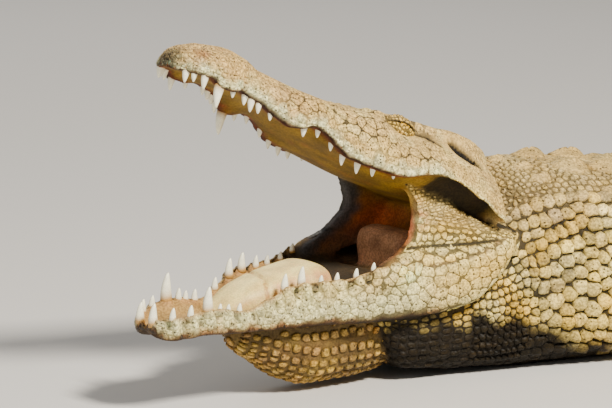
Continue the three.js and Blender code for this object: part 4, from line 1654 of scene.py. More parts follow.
@dataclass(frozen=True)
class Leg:
    """One leg: arm, palm and toes, of which the first few carry claws."""

    name: str
    arm: tuple[Station, ...]
    palm_at: tuple[float, float]
    palm_length: float
    palm_half_width: float
    palm_thick: float
    toes: tuple[tuple[float, float, float], ...]
    clawed: int = 3

    def palm(self) -> tuple[Station, ...]:
        """Stations of the palm, from the wrist towards the middle toe.

        Returns:
            The stations.
        """
        middle = self.toes[len(self.toes) // 2]
        run = np.subtract(middle[:2], self.palm_at)
        run = run / np.hypot(*run)
        spread = ((-0.3, 0.62), (0.1, 1.0), (0.7, 1.1), (1.0, 0.75))
        return tuple(
            (self.palm_at[0] + run[0] * self.palm_length * t,
             self.palm_at[1] + run[1] * self.palm_length * t,
             self.palm_thick * 0.8, self.palm_half_width * share,
             self.palm_thick * (1.05 - 0.35 * max(t, 0.0)))
            for t, share in spread)

    def toe(self, tip: tuple[float, float, float]) -> tuple[tuple[float, ...], ...]:
        """Stations of one toe: bowed up to its knuckles, then down to the floor.

        Args:
            tip: place and radius of the toe's tip.

        Returns:
            The stations.
        """
        profile = ((0.3, 15, 1.15), (0.42, 16, 1.3), (0.55, 14, 1.08), (0.68, 13, 1.16),
                   (0.82, 9.5, 0.92), (0.93, 7.5, 0.8), (1.0, 5.5, 0.5), (1.02, 5, 0.2))
        base = np.asarray(self.palm_at)
        reach = np.asarray(tip[:2]) - base
        return tuple(
            (*(base + reach * t), z, tip[2] * share, min(tip[2] * share, z + 3.0))
            for t, z, share in profile)

    def tubes(self, spine: Spine, side: int, label: str) -> list[Tube]:
        """Arm, palm and toes as tubes on one side of the body.

        Args:
            spine: the line of the back.
            side: 1 for the left leg, -1 for the right.
            label: first part of the tubes' names.

        Returns:
            The tubes.
        """
        parts = [("arm", self.arm), ("palm", self.palm())]
        parts += [(f"toe{i}", self.toe(tip)) for i, tip in enumerate(self.toes)]
        return [Tube(spine, f"{self.name}_{label}_{part}", stations, side)
                for part, stations in parts]


FRONT_LEG = Leg(
    "front",
    ((440, 120, 160, 66, 74), (470, 190, 140, 60, 66), (515, 262, 104, 48, 50),
     (530, 320, 66, 40, 42), (500, 362, 50, 37, 36), (440, 396, 38, 32, 30),
     (392, 418, 26, 31, 22), (352, 430, 17, 40, 17)),
    (345, 431), 62, 42, 17,
    ((250, 372, 11), (232, 408, 12), (226, 446, 12), (250, 486, 10), (286, 512, 9)))
HIND_LEG = Leg(
    "hind",
    ((1250, 96, 150, 92, 96), (1215, 190, 140, 84, 86), (1172, 290, 116, 64, 64),
     (1166, 352, 80, 52, 54), (1225, 396, 58, 48, 44), (1296, 432, 42, 40, 36),
     (1330, 462, 28, 36, 25), (1318, 500, 19, 44, 19)),
    (1308, 512), 96, 50, 19,
    ((1150, 540, 13), (1146, 600, 14), (1178, 652, 13), (1238, 682, 11)))


# ---- skin
FLESH = (
    "head", "lower_jaw", "throat", "neck", "trunk", "tail_1", "tail_2", "tail_3", "tail_4",
    *(f"{end}_{part}" for end in ("front", "hind")
      for part in ("leg_left_upper", "leg_left_lower", "leg_right_upper", "leg_right_lower",
                   "foot_left", "foot_right")))


@dataclass(frozen=True)
class Eye:
    """Place and sizes of an eye in the skull's frame, in millimetres."""

    ahead: float = 212.0
    side: float = 52.0
    up: float = 60.0
    ball: float = 18.0
    lid: float = 20.2
    lid_thick: float = 2.6
    socket: float = 13.5  # how far from the eye's centre the skin is sunk behind the lids
    socket_reach: float = 34.0  # skin further out than this stays
    outward: float = math.radians(34.0)  # how far above level the opening looks
    long: float = 1.32  # how much longer than high the lids are
    slit: float = math.radians(6.0)  # half the opening's height, seen from the middle
    slit_tilt: float = math.radians(6.0)

    def frame(self, head: HeadFrame, side: int) -> tuple[Array, Array, Array, Array]:
        """Centre in metres, and unit vectors ahead, outwards through the opening, and over it.

        Args:
            head: the head's frame.
            side: 1 for the left eye, -1 for the right.

        Returns:
            The centre in metres, and unit vectors ahead, outwards and over.
        """
        centre = head.point(self.ahead, side * self.side, self.up, head.upper_pitch)
        forward, left, lift = head.axes(head.upper_pitch)
        out = left * side * math.cos(self.outward) + lift * math.sin(self.outward)
        over = lift * math.cos(self.outward) - left * side * math.sin(self.outward)
        return centre, forward, out, over


@dataclass(frozen=True)
class Lid:
    """One eyelid: a thick band of a sphere, from its edge at the slit to where skin takes over."""

    eye: Eye
    head: HeadFrame
    side: int
    upper: bool
    wrinkles: int = 5

    def radius(self, share: Array) -> Array:
        """Distance from the eye's centre: a rounded edge, then faint concentric wrinkles."""
        wave = 0.45 * np.cos(TAU * self.wrinkles * share) * ramp(share, 0.05, 0.2)
        return self.eye.lid + 0.9 * hill(share, 0.04, 0.06) + wave

    def edge(self, b: Array) -> Array:
        """Angle of the lid's edge at longitude b: the two edges meet at the eye's corners.

        Args:
            b: longitude, in radians, from corner to corner of the eye.

        Returns:
            Angles in radians.
        """
        opening = self.eye.slit * np.maximum(np.cos(b * 90.0 / 62.0), 0.0) ** 0.8
        bow = -self.eye.slit_tilt * np.cos(b) + math.radians(4.0) * np.sin(b)
        return bow + (opening if self.upper else -opening)

    def surface(self, b: Array, share: Array, radius: Array | None = None) -> Array:
        """Metres of the lid's outside, or of a radius, at longitude b: share is 0 at the edge and
        1 at the rim.

        Args:
            b: longitude, in radians, from corner to corner of the eye.
            share: place between edge and rim.
            radius: millimetres from the eye's centre, or the lid's own where none is given.

        Returns:
            Points in metres.
        """
        start = self.edge(b)
        stop = math.radians(82.0 if self.upper else -88.0)
        a = start + (stop - start) * share
        radius = self.radius(share) if radius is None else radius
        centre, forward, out, over = self.eye.frame(self.head, self.side)
        way = (self.eye.long * np.sin(b)[..., None] * forward
               + (np.cos(b) * np.cos(a))[..., None] * out
               + (np.cos(b) * np.sin(a))[..., None] * over)
        return centre + MM * radius[..., None] * way

    def lining(self, b: Array, share: Array) -> Array:
        """Metres of the lid's inside, parallel to its outside."""
        return self.surface(b, share, self.eye.lid - self.eye.lid_thick + 0.0 * share)

    def paint(self, b: Array, share: Array, points: Array) -> Paint:
        """Yellow lower lid, sandy upper lid, dark at the very edge.

        Args:
            b: longitude, in radians, from corner to corner of the eye.
            share: place between edge and rim.
            points: the same places in metres.

        Returns:
            Linear colours and wetness.
        """
        return layered(
            len(b), Tint.SAND,
            (Tint.GOLD, 0.3 if self.upper else 0.75),
            (Tint.DUST, 0.5 * ramp(share, 0.3, 0.8)),
            (Tint.DARK, 0.8 * fall(share, 0.0, 0.05)),
        ), np.full(len(b), 0.2)

    def patches(self) -> list[Patch]:
        """The lid's outside.

        Returns:
            The patch.
        """
        span = math.radians(66.0)
        return [Patch(self.surface, (-span, span), (0.02, 0.75), self.paint,
                      lambda b: self.eye.frame(self.head, self.side)[0])]

    def shell(self) -> Shell:
        """Closed shell of the lid."""
        return walled(self.surface, self.lining, np.linspace(-1, 1, 61) * math.radians(80.0),
                      np.linspace(0, 1, 31) ** 1.4)


@dataclass
class Anatomy:
    """All parts of the animal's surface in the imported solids' frame."""

    head: HeadFrame
    spine: Spine
    eye: Eye = field(default_factory=Eye)

    def __post_init__(self) -> None:
        """Makes the parts from the two frames."""
        self.skull = Skull(self.head)
        self.mandible = Mandible(self.head)
        self.cheeks = Cheeks(self.head)
        self.pouch = Pouch(self.head)
        self.tongue = tongue_of(self.head)
        self.valve = throat_valve_of(self.head)
        self.body = Body(self.spine, self.head.joint_folds)
        self.lids = [Lid(self.eye, self.head, side, upper)
                     for side in (1, -1) for upper in (True, False)]
        self.limbs = [limb for leg in (FRONT_LEG, HIND_LEG)
                      for label, side in (("left", 1), ("right", -1))
                      for limb in leg.tubes(self.spine, side, label)]
        self.forms = [self.skull, self.mandible, self.cheeks, self.pouch, self.valve, self.body,
                      *self.limbs]  # those that merge into the skin

    def patches(self) -> list[Patch]:
        """The patches of all forms that merge into the skin."""
        return [patch for form in self.forms for patch in form.patches()]

    def shadow(self, points: Array) -> Array:
        """From 0 to 1 in slits, folds and the pockets between tooth sockets.

        Args:
            points: places in metres, of shape (n, 3).

        Returns:
            One value for each point.
        """
        skull = self.skull
        t, side, up = self.head.in_upper(points)
        slit = ramp(skull.slits(t, np.abs(side), up), 0.15, 0.5)
        over = up - curve(skull.lip, t)
        deep = 4.0 + 6.0 * hill(t, 140, 26)
        lip = fall(over + ripple(points, 20, 92), 0.5, deep) \
            * (over > -14) * ramp(t, -12, 2) * fall(t, 316, 332)
        lip = np.maximum(lip, 0.5 * between_teeth(UPPER_TEETH, t, 2.4) * hill(over, 8, 8))
        lip = lip * hill(np.abs(side), curve(skull.half_width, t), 9)
        return np.clip(np.maximum.reduce([slit, 0.9 * lip, 0.9 * self.pockets(points),
                                          0.85 * self.cheeks.fold_line(points)]), 0, 1)

    def pockets(self, points: Array) -> Array:
        """From 0 to 1 in the pockets between lower tooth sockets, which get painted shade.

        Args:
            points: places in metres, of shape (n, 3).

        Returns:
            One value for each point.
        """
        back, side, up = self.head.in_lower(points)
        drop = curve(self.mandible.rim, back) - up
        pocket = between_teeth(LOWER_TEETH, back + 0.35 * (drop - 9), 4.2) * hill(drop, 8, 8)
        pocket = pocket * hill(np.abs(side), curve(self.mandible.half_width, back), 14)
        pocket = pocket * (0.4 + 0.6 * ramp(back, 120, 150))
        return np.clip(2.2 * pocket * ramp(ripple(points, 40, 91), -0.9, -0.1), 0, 1)


def between_teeth(row: ToothRow, t: Array, half_width: float) -> Array:
    """From 0 to 1 halfway between teeth that stand well apart.

    Args:
        row: the teeth of one jaw.
        t: positions back from the jaw's tip.
        half_width: half of a gap's width.

    Returns:
        The nearness of each position to a gap.
    """
    places = [at for at, _, _ in row]
    gaps = [(one + two) / 2 for one, two in zip(places, places[1:]) if two - one > 15]
    return sum(hill(t, gap, half_width) for gap in gaps)


def anatomy_from_frame() -> Anatomy:
    """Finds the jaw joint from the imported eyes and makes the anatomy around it.

    Returns:
        The anatomy.
    """
    eye = Eye()
    packed_radius = 0.019
    centres = []
    for node in ("eye_left", "eye_right"):
        low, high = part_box(node)
        centres.append([low.x + packed_radius, (low.y + high.y) / 2, (low.z + high.z) / 2])
    between = np.mean(centres, axis=0)
    loose = HeadFrame((0.0, 0.0, 0.0))
    hinge = between - loose.point(eye.ahead, 0.0, eye.up, loose.upper_pitch)
    head = HeadFrame(tuple(float(x) for x in hinge))
    return Anatomy(head, Spine(head), eye)


@dataclass(frozen=True)
class SkinSizes:
    """How finely the skin is merged and thinned, and how it lies under the scales."""

    voxel: float = 0.0038  # metres
    smooth_passes: int = 3
    faces: int = 188_000
    fine_until: float = -10.0  # millimetres behind the joint, up to which no point is given up
    coarse_from: float = 240.0  # millimetres behind the joint, from which all may be
    under_scales: float = 1.5  # millimetres that the skin is sunk where scales cover it


class Skin:
    """The one closed skin of the whole animal."""

    def __init__(self, anatomy: Anatomy, sizes: SkinSizes = SkinSizes()) -> None:
        """Keeps the anatomy and the sizes."""
        self.anatomy, self.sizes = anatomy, sizes

    def build(self) -> bpy.types.Object:
        """Merges the forms, thins the result, adds folds and lids, and paints it.

        Returns:
            The skin, painted.
        """
        raw = mesh_object("skin_raw", merged(form.shell() for form in self.anatomy.forms))
        remesh = raw.modifiers.new("merge", "REMESH")
        remesh.mode = "VOXEL"
        remesh.voxel_size = self.sizes.voxel
        applied(raw)
        self.thin(raw)
        points = points_of(raw.data)
        normals = values_of(raw.data.vertex_normals, "vector", 3).astype(float)
        colour, wet, cover = PaintSamples(self.anatomy.patches()).read(points)
        cover = spread_over_edges(raw.data, cover, 2)
        depth = self.sizes.under_scales * cover
        points = points - normals * MM * depth[:, None]
        shade = self.anatomy.shadow(points)
        points = self.relief(points, normals)
        points[:, 2] = np.maximum(points[:, 2], 0.0)
        raw.data.calc_loop_triangles()
        faces = values_of(raw.data.loop_triangles, "vertices", 3, np.int32)
        lids = merged(lid.shell() for lid in self.anatomy.lids)
        whole = merged([(points, [faces]), lids])
        skin = mesh_object("skin", whole)
        lid_samples = PaintSamples([p for lid in self.anatomy.lids for p in lid.patches()], 1.2)
        lid_colour, lid_wet, _ = lid_samples.read(lids[0])
        colour = spread_over_edges(raw.data, colour, 1)
        colour = mix(colour, 0.15 * Tint.DARK.linear, shade)
        wet = spread_over_edges(raw.data, wet, 2)
        give_colours(skin.data, np.concatenate((colour, lid_colour * 0.8)),
                     np.concatenate((wet, lid_wet)))
        bpy.data.objects.remove(raw)
        return skin

    def thin(self, raw: bpy.types.Object) -> None:
        """Smooths the merged skin and thins it away from the head.

        Args:
            raw: the merged skin, which is changed in place.
        """
        smooth = raw.modifiers.new("smooth", "SMOOTH")
        smooth.factor = 0.5
        smooth.iterations = self.sizes.smooth_passes
        applied(raw)
        behind = -self.anatomy.head.local(points_of(raw.data), 0.0)[0]
        free = ramp(behind, self.sizes.fine_until, self.sizes.coarse_from)
        log.info("skin merged: %d faces, %d of them fine", len(raw.data.polygons),
                 int(np.sum(free == 0)))
        group = raw.vertex_groups.new(name="free")
        levels = np.round(free * 8).astype(int)
        for level in range(1, 9):
            group.add(np.flatnonzero(levels == level).tolist(), level / 8.0, "REPLACE")
        decimate = raw.modifiers.new("thin", "DECIMATE")
        decimate.ratio = min(1.0, self.sizes.faces / (2.0 * len(raw.data.polygons)))
        decimate.vertex_group = "free"
        decimate.use_collapse_triangulate = True
        applied(raw)
        log.info("skin thinned to %d faces", len(raw.data.polygons))

    def relief(self, points: Array, normals: Array) -> Array:
        """Presses folds, sockets and slits into the skin, each a hill or wave of named size.

        Args:
            points: places in metres, of shape (n, 3).
            normals: the skin's unit normals there.

        Returns:
            The moved places.
        """
        head, skull, mandible = self.anatomy.head, self.anatomy.skull, self.anatomy.mandible
        t, side, up = head.in_upper(points)
        back, lower_side, lower_up = head.in_lower(points)
        behind = -head.local(points, head.upper_pitch)[0]
        away = np.abs(side)
        on_top = ramp(up, curve(skull.lip, t) + 2, curve(skull.lip, t) + 8) * (t < 540)
        on_top = on_top * (away < curve(skull.half_width, t) + 6)
        rise = np.zeros(len(points))
        # nostrils: a raised disc with two slits
        rise += 4.0 * hill(t, 20, 20) * hill(away, 14, 16) * on_top
        rise -= 5.5 * hill(t - 0.5 * (away - 12), 21, 5.0) * hill(away, 14, 4.0) * on_top
        rise -= (3.5 + 8.5 * ramp(t, 410, 425)) * skull.slits(t, away, up) * on_top
        # the table's edge rolls over the ear
        rise += 3.5 * hill(up, 84.0 - 0.12 * (t - 430.0), 8.0) * hill(t, 462, 34) \
            * ramp(away, 45, 60) * on_top
        # small horns before the eyes
        rise += 4.0 * (hill(t, 300, 7) + hill(t, 316, 6)) * hill(away, 40, 9) * on_top
        # sockets that swell round the teeth
        wall_side = np.abs(lower_side)
        for row, place, height, width, middle, tall, strength in (
                (UPPER_TEETH, t, up - curve(skull.lip, t), skull.half_width, 7, 13, 3.2),
                (LOWER_TEETH, back, lower_up - curve(mandible.rim, back), mandible.half_width,
                 -11, 16, 7.0)):
            crowd = sum(hill(place, at, 6.5) * (0.6 + 0.4 * min(max(left, right) / 20.0, 1.0))
                        for at, left, right in row)
            among = ramp(place, -10, 0) * fall(place, 335, 350)
            rise += strength * (np.clip(crowd, 0, 1.1) - 0.35) * among \
                * hill(wall_side, curve(width, place), 14) * hill(height, middle, tall)
        rise -= 4.0 * self.anatomy.pockets(points)
        # folds behind the jaw joint, round it
        rise += 2.2 * head.joint_folds(points)
        # creases of the low wet throat
        low = fall(points[:, 2] / MM, 40, 90) * ramp(behind, -170, -90)
        rise += 1.4 * low * fall(behind, 180, 300) \
            * np.cos(TAU * points[:, 2] / MM / 11.0 + 1.5 * ripple(points, 90, 82))
        points = points + normals * MM * rise[:, None]
        return self.sockets(points)

    def sockets(self, points: Array) -> Array:
        """Sinks the skin behind the eyelids, so that the eyeball shows in the slit.

        Args:
            points: places in metres, of shape (n, 3).

        Returns:
            The moved places.
        """
        eye = self.anatomy.eye
        for side in (1, -1):
            centre, forward, out, _ = eye.frame(self.anatomy.head, side)
            away = points - centre
            away -= ((1 - 1 / eye.long) * away @ forward)[:, None] * forward
            distance = np.linalg.norm(away, axis=1)
            angle = np.arccos(np.clip(unit(away) @ out, -1, 1))
            inside = fall(angle, math.radians(48), math.radians(66)) \
                * (distance < eye.socket_reach * MM)
            goal = np.minimum(distance, eye.socket * MM)
            share = inside * (1 - goal / np.maximum(distance, 1e-9))
            points = points - (points - centre) * share[:, None]
        return points


class PaintSamples:
    """Colours, wetness and scale cover of many patches, read at any place near them."""

    STEP = 4.2  # millimetres between samples

    def __init__(self, patches: list[Patch], step: float = STEP) -> None:
        """Paints every patch on a grid of about the given step in millimetres.

        Args:
            patches: the surfaces.
            step: millimetres between samples.
        """
        places, plain, colours, wets, covers = [], [], [], [], []
        for patch in patches:
            _, _, coarse = patch.grid(24, 24)
            long = np.linalg.norm(np.diff(coarse, axis=0), axis=-1).sum(axis=0).max() / MM
            wide = np.linalg.norm(np.diff(coarse, axis=1), axis=-1).sum(axis=1).max() / MM
            u, v, points = patch.grid(max(int(long / step), 8), max(int(wide / step), 8))
            flat = points.reshape(-1, 3)
            colour, wet = patch.paint(u.ravel(), v.ravel(), flat)
            places.append(flat)
            plain.append(colour)
            dark = (1.0 - read(patch.groove, u, v).ravel()) * (1.0 - patch.bare)
            colours.append(mix(colour, 0.4 * Tint.DARK.linear, dark))
            wets.append(wet)
            covers.append(np.full(len(flat), 1.0 - patch.bare))
        self.colours, self.wets = np.concatenate(colours), np.concatenate(wets)
        self.plain = np.concatenate(plain)
        self.covers = np.concatenate(covers)
        self.nearest = Nearest(np.concatenate(places), 2.0 * step * MM)

    def read(self, points: Array) -> tuple[Array, Array, Array]:
        """Colour, wetness and cover of the sample nearest each point."""
        found = self.nearest.find(points)
        return self.colours[found], self.wets[found], self.covers[found]

    def hue(self, points: Array) -> Array:
        """Colour of the sample nearest each point, without the darkness of the grooves."""
        return self.plain[self.nearest.find(points)]


# ---- scales
BARE = -1  # number of the coat piece of scales that only keep their room free
TRAITS = ("gap", "height", "dome", "keel", "tilt", "corners", "limit", "fill", "rim", "bevel",
          "lap")


@dataclass(frozen=True)
class Cut:
    """How the scales of one region are cut.  Lengths are millimetres, fields take (u, v)."""

    pitch: Field | float
    width: Field | float
    height: Field | float
    jitter: float = 0.12
    gap: Field | float = 1.2
    dome: Field | float = 0.5
    keel: Field | float = 0.0
    tilt: float = 0.0
    corners: float = 8.0  # high for sharp corners, low for round ones
    columns: int = 0  # fixed number of scales round a ring, or 0 to space them evenly
    tones: float = 0.12  # how much one scale differs from the next
    limit: float = 7.0  # a scale further than this from the skin is left out
    fill: Field | float = 1.18  # how far past its own pitch a scale may grow to meet its neighbours
    # rim: painted shade on a scale's edge, the darker the further below 1
    rim: Field | float = 0.6  # brightness of its edge
    bevel: float = 1.5  # width of its sloping edge
    lap: float = 0.0  # how far it reaches over the scale behind it, as a share of its radius
    keep: Callable[[Array, Array], Array] | None = None  # where scales are laid at all
    drop: float = 0.0  # share of scales left out, whose neighbours grow into the room

    def style(self, u: Array, v: Array) -> Array:
        """The traits of the scales at (u, v), of shape (n, traits)."""
        return np.stack([read(getattr(self, name), u, v) for name in TRAITS], axis=1)


@dataclass
class Seeds:
    """Roots of scales: places, axes, sizes and colours, one row for each scale."""

    place: Array
    along: Array
    across: Array
    out: Array
    half: Array  # half pitch and half width in millimetres, of shape (n, 2)
    style: Array  # one column for each of TRAITS
    colour: Array
    wet: Array
    chart: Array  # place on the unwrap, of shape (n, 2)
    coat: Array  # which coat piece each belongs to

    def trait(self, name: str) -> Array:
        """One of TRAITS for every scale."""
        return self.style[:, TRAITS.index(name)]

    def pick(self, chosen: Array) -> "Seeds":
        """Only the chosen rows."""
        return Seeds(*(getattr(self, name)[chosen] for name in self.__dataclass_fields__))

    @staticmethod
    def joined(parts: "list[Seeds]") -> "Seeds":
        """Several sets of seeds as one."""
        names = Seeds.__dataclass_fields__
        return Seeds(*(np.concatenate([getattr(p, name) for p in parts]) for name in names))


def lay_scales(patch: Patch, cut: Cut, coat: int, rng: np.random.Generator,
               strip: tuple[float, float]) -> Seeds:
    """Lays scales over a patch in rows of constant u.

    Rows stand a pitch apart along the middle of the patch.  In each row the scales stand a width
    apart by arc length, every other row shifted by half, and all are moved a little at random.

    Args:
        patch: the surface.
        cut: pitch, width and the other sizes.
        coat: number of the coat piece.
        rng: seeded source of the small irregularities.
        strip: lower and upper edge of the strip of the bake map given to this patch.

    Returns:
        The roots of the scales.
    """
    fine_u = np.linspace(*patch.u, 600)
    fine_v = np.linspace(*patch.v, 260)
    uu, vv = np.meshgrid(fine_u, fine_v[::26], indexing="ij")
    step = np.linalg.norm(np.diff(patch.place(uu, vv), axis=0), axis=-1).mean(axis=1) / MM
    middle = np.full_like(fine_u, 0.5 * sum(patch.v))
    pitch = read(cut.pitch, fine_u, middle)
    count = np.concatenate(([0.0], np.cumsum(step / pitch[:-1])))
    rows = max(int(count[-1]), 1)
    row_u = np.interp((np.arange(rows) + 0.5) / rows * count[-1], count, fine_u)
    uu, vv = np.meshgrid(row_u, fine_v, indexing="ij")
    piece = np.linalg.norm(np.diff(patch.place(uu, vv), axis=1), axis=-1) / MM
    width = read(cut.width, uu, vv)
    share = np.concatenate((np.zeros((rows, 1)), np.cumsum(piece / width[:, 1:], axis=1)), axis=1)
    us, vs = [], []
    for k in range(rows):
        total = share[k, -1]
        number = cut.columns or max(int(round(total)), 1)
        shift = 0.5 * (k % 2) if not cut.columns else 0.0
        if cut.columns:
            at = patch.v[0] + (np.arange(number) + shift) / number * (patch.v[1] - patch.v[0])
        elif patch.rounds:
            at = np.interp((np.arange(number) + shift) / number * total, share[k], fine_v)
        else:
            number = number - (k % 2) if number > 2 else number
            at = np.interp((np.arange(number) + 0.5) / number * total, share[k], fine_v)
        spread = cut.jitter * (patch.v[1] - patch.v[0]) / max(number, 1)
        vs.append(at + rng.uniform(-1, 1, number) * spread)
        us.append(np.full(number, row_u[k]))
    u, v = np.concatenate(us), np.concatenate(vs)
    speed = np.interp(u, fine_u[:-1], (np.diff(fine_u) / np.maximum(step, 1e-6)))
    pitch = read(cut.pitch, u, v)
    u = np.clip(u + rng.uniform(-1, 1, len(u)) * cut.jitter * pitch * speed, *patch.u)
    v = v if patch.rounds else np.clip(v, *patch.v)
    kept = rng.uniform(size=len(u)) >= cut.drop
    u, v, pitch, speed = u[kept], v[kept], pitch[kept], speed[kept]
    laid = cut.keep(u, v) if cut.keep else np.full(len(u), True)
    place, along, across, out = patch.frame(u, v)
    nudge = U_NUDGE * (patch.u[1] - patch.u[0])
    stretch = np.linalg.norm(patch.place(u + nudge, v) - patch.place(u - nudge, v), axis=1)
    pitch = pitch * np.clip(speed * stretch / (2 * nudge * MM), 0.5, 2.4)
    colour, wet = patch.paint(u, v, place)
    tone = 1.0 + cut.tones * rng.normal(size=(len(u), 1)).clip(-2, 2)
    warm = 1.0 + cut.tones * rng.normal(size=(len(u), 1)).clip(-2, 2) * np.array([0.0, 0.1, 0.9])
    width = read(cut.width, u, v)
    spot = np.stack(((u - patch.u[0]) / (patch.u[1] - patch.u[0]),
                     np.mod((v - patch.v[0]) / (patch.v[1] - patch.v[0]), 1.0)), axis=1)
    low, high = np.array([0.0, strip[0]]), np.array([1.0, strip[1]])
    return Seeds(place, along, across, out, 0.5 * np.stack((pitch, width), axis=1),
                 cut.style(u, v),
                 colour * tone * warm, wet, low + (high - low) * (0.01 + 0.98 * spot),
                 np.where(laid, coat, BARE))


def onto(skin: bpy.types.Object, points: Array) -> Array:
    """The places on the skin nearest to points, found by a Shrinkwrap modifier.

    Args:
        skin: the object with the skin.
        points: places in metres.

    Returns:
        As many places, on the skin.
    """
    probe = mesh_object("probe", (points, []))
    wrap = probe.modifiers.new("wrap", "SHRINKWRAP")
    wrap.target = skin
    wrap.wrap_method = "NEAREST_SURFACEPOINT"
    graph = bpy.context.evaluated_depsgraph_get()
    found = points_of(probe.evaluated_get(graph).data)
    bpy.data.meshes.remove(probe.data)
    return found


class Coat:
    """All scales: drops those that other parts bury, shapes each one, and builds the pieces."""

    NEIGHBOURS = 14
    CROWD = 0.5  # two scales nearer than this share of their size are one too many
    INSETS = (0.0, 0.25, 1.0)  # of the bevel, ring by ring from a scale's foot
    FOOT = -1.2  # how deep a scale stands in the skin, in millimetres
    SUNK = 2.5  # how far scales are pressed down where they lie in shadow
    CLEAR = 0.25  # how far scales stay above the floor
    OWN_COLOUR = 0.2  # share of a scale's colour that is its own; the rest follows the place

    def __init__(self, skin: bpy.types.Object, seeds: Seeds,
                 shadow: Callable[[Array], Array], paint: PaintSamples) -> None:
        """Keeps the seeds that lie on the skin, with no two on one spot.

        Args:
            skin: the object that the scales stand on.
            seeds: roots of all scales.
            shadow: how deep places lie in shadow, from 0 to 1.
            paint: colours of the animal.
        """
        self.skin, self.shadow, self.paint = skin, shadow, paint
        feet = onto(skin, seeds.place)
        gap = np.linalg.norm(feet - seeds.place, axis=1) / MM
        seeds.place = feet
        seeds = seeds.pick(gap < seeds.trait("limit"))
        self.seeds = seeds.pick(self.uncrowded(seeds))
        self.near = self.neighbours(self.seeds, self.NEIGHBOURS)

    def neighbours(self, seeds: Seeds, count: int) -> Array:
        """Numbers of the nearest other seeds of each seed, nearest first.

        Args:
            seeds: the seeds.
            count: how many others are wanted.

        Returns:
            Row numbers, of shape (n, count).
        """
        tree = KDTree(len(seeds.place))
        for i, place in enumerate(seeds.place):
            tree.insert(place, i)
        tree.balance()
        return np.array([[i for _, i, _ in tree.find_n(place, count + 1)][1:]
                         for place in seeds.place])

    def uncrowded(self, seeds: Seeds) -> Array:
        """Marks the seeds to keep: of two that crowd each other, the one laid first stays.

        Args:
            seeds: the seeds.

        Returns:
            True for each seed to keep.
        """
        near = self.neighbours(seeds, 6)
        me = np.arange(len(seeds.place))[:, None]
        distance = np.linalg.norm(seeds.place[near] - seeds.place[:, None], axis=2) / MM
        size = seeds.half.min(axis=1)
        room = self.CROWD * (size[near] + size[:, None])
        return ~np.any((distance < room) & (near < me), axis=1)

    def build(self, name: str, coat: int, sides: int) -> bpy.types.Object:
        """Builds one piece of the coat.

        Args:
            name: the piece's name.
            coat: which seeds belong to it.
            sides: number of corners of each scale.

        Returns:
            The object, with its paint and its OFBake map.
        """
        chosen = np.flatnonzero(self.seeds.coat == coat)
        near = self.near[chosen]
        seeds = self.seeds.pick(chosen)
        count = len(chosen)
        angles = np.arange(sides) / sides * TAU
        away = (self.seeds.place[near] - seeds.place[:, None])
        radius = self.outlines(seeds, near, away, angles)
        height, dome, keel, tilt, rim, bevel = (seeds.trait(name)[:, None] for name in (
            "height", "dome", "keel", "tilt", "rim", "bevel"))
        radii = [radius - np.minimum(inset * bevel, 0.42 * inset * radius)
                 for inset in self.INSETS] + [0.5 * radius]
        lean = 1.0 + tilt * np.cos(angles)
        spread = [np.stack((r * np.cos(angles), r * np.sin(angles)), axis=-1) for r in radii]
        crowns = []
        for r, flat in zip(radii[2:], spread[2:]):
            share = r / radius
            ridge = np.exp(-((flat[..., 1] / (0.3 * seeds.half[:, 1:])) ** 2))
            crowns.append(height * (1 + tilt * share * np.cos(angles)) + dome * (1 - share**2)
                          + keel * (1 - share) ** 0.6 * ridge)
        spread = np.concatenate([*spread, np.zeros((count, 1, 2))], axis=1)
        flat = seeds.place[:, None] + MM * (spread[..., :1] * seeds.along[:, None]
                                            + spread[..., 1:] * seeds.across[:, None])
        lift = np.concatenate([np.full(radius.shape, self.FOOT), 0.55 * height * lean, *crowns,
                               height + dome + keel], axis=1)
        base = onto(self.skin, flat.reshape(-1, 3)).reshape(flat.shape)
        shade = np.zeros(lift.shape)
        if coat < CoatPiece.THROAT.number:
            shade = self.shadow(base.reshape(-1, 3)).reshape(lift.shape)
        lift = lift - self.SUNK * ramp(shade, 0.35, 0.75)
        points = base + MM * lift[..., None] * seeds.out[:, None]
        points[..., 2] = np.maximum(points[..., 2], self.CLEAR * MM)
        each = points.shape[1]
        shell = points.reshape(-1, 3), self.faces(count, sides, each)
        piece = mesh_object(name, shell)
        one = np.ones((count, sides))
        # painted shade on each scale's foot, edge and overlapped front; slight painted highlight on
        # top
        tuck = 1.0 + 0.3 * tilt * np.cos(angles)  # darker where a scale is overlapped
        tone = np.concatenate((0.5 * rim * one, rim * tuck, (0.75 + 0.25 * rim) * tuck,
                               1.03 * one, one[:, :1] * 1.05), axis=1)
        colour = np.repeat(seeds.colour[:, None], each, axis=1)
        if coat <= CoatPiece.NECK.number:
            own = np.clip(seeds.colour / self.paint.hue(seeds.place), 0.7, 1.4)
            here = self.paint.hue(base.reshape(-1, 3)).reshape(count, each, 3)
            colour = self.OWN_COLOUR * colour + (1 - self.OWN_COLOUR) * here * own[:, None]
        colour = (colour * tone[..., None]).reshape(-1, 3)
        colour = mix(colour, 0.15 * Tint.DARK.linear, shade.ravel())
        give_colours(piece.data, colour, np.repeat(seeds.wet, each))
        self.chart(piece, seeds, spread, radius.max(axis=1))
        log.info("%s: %d scales, %d faces", name, count, len(piece.data.polygons))
        return piece

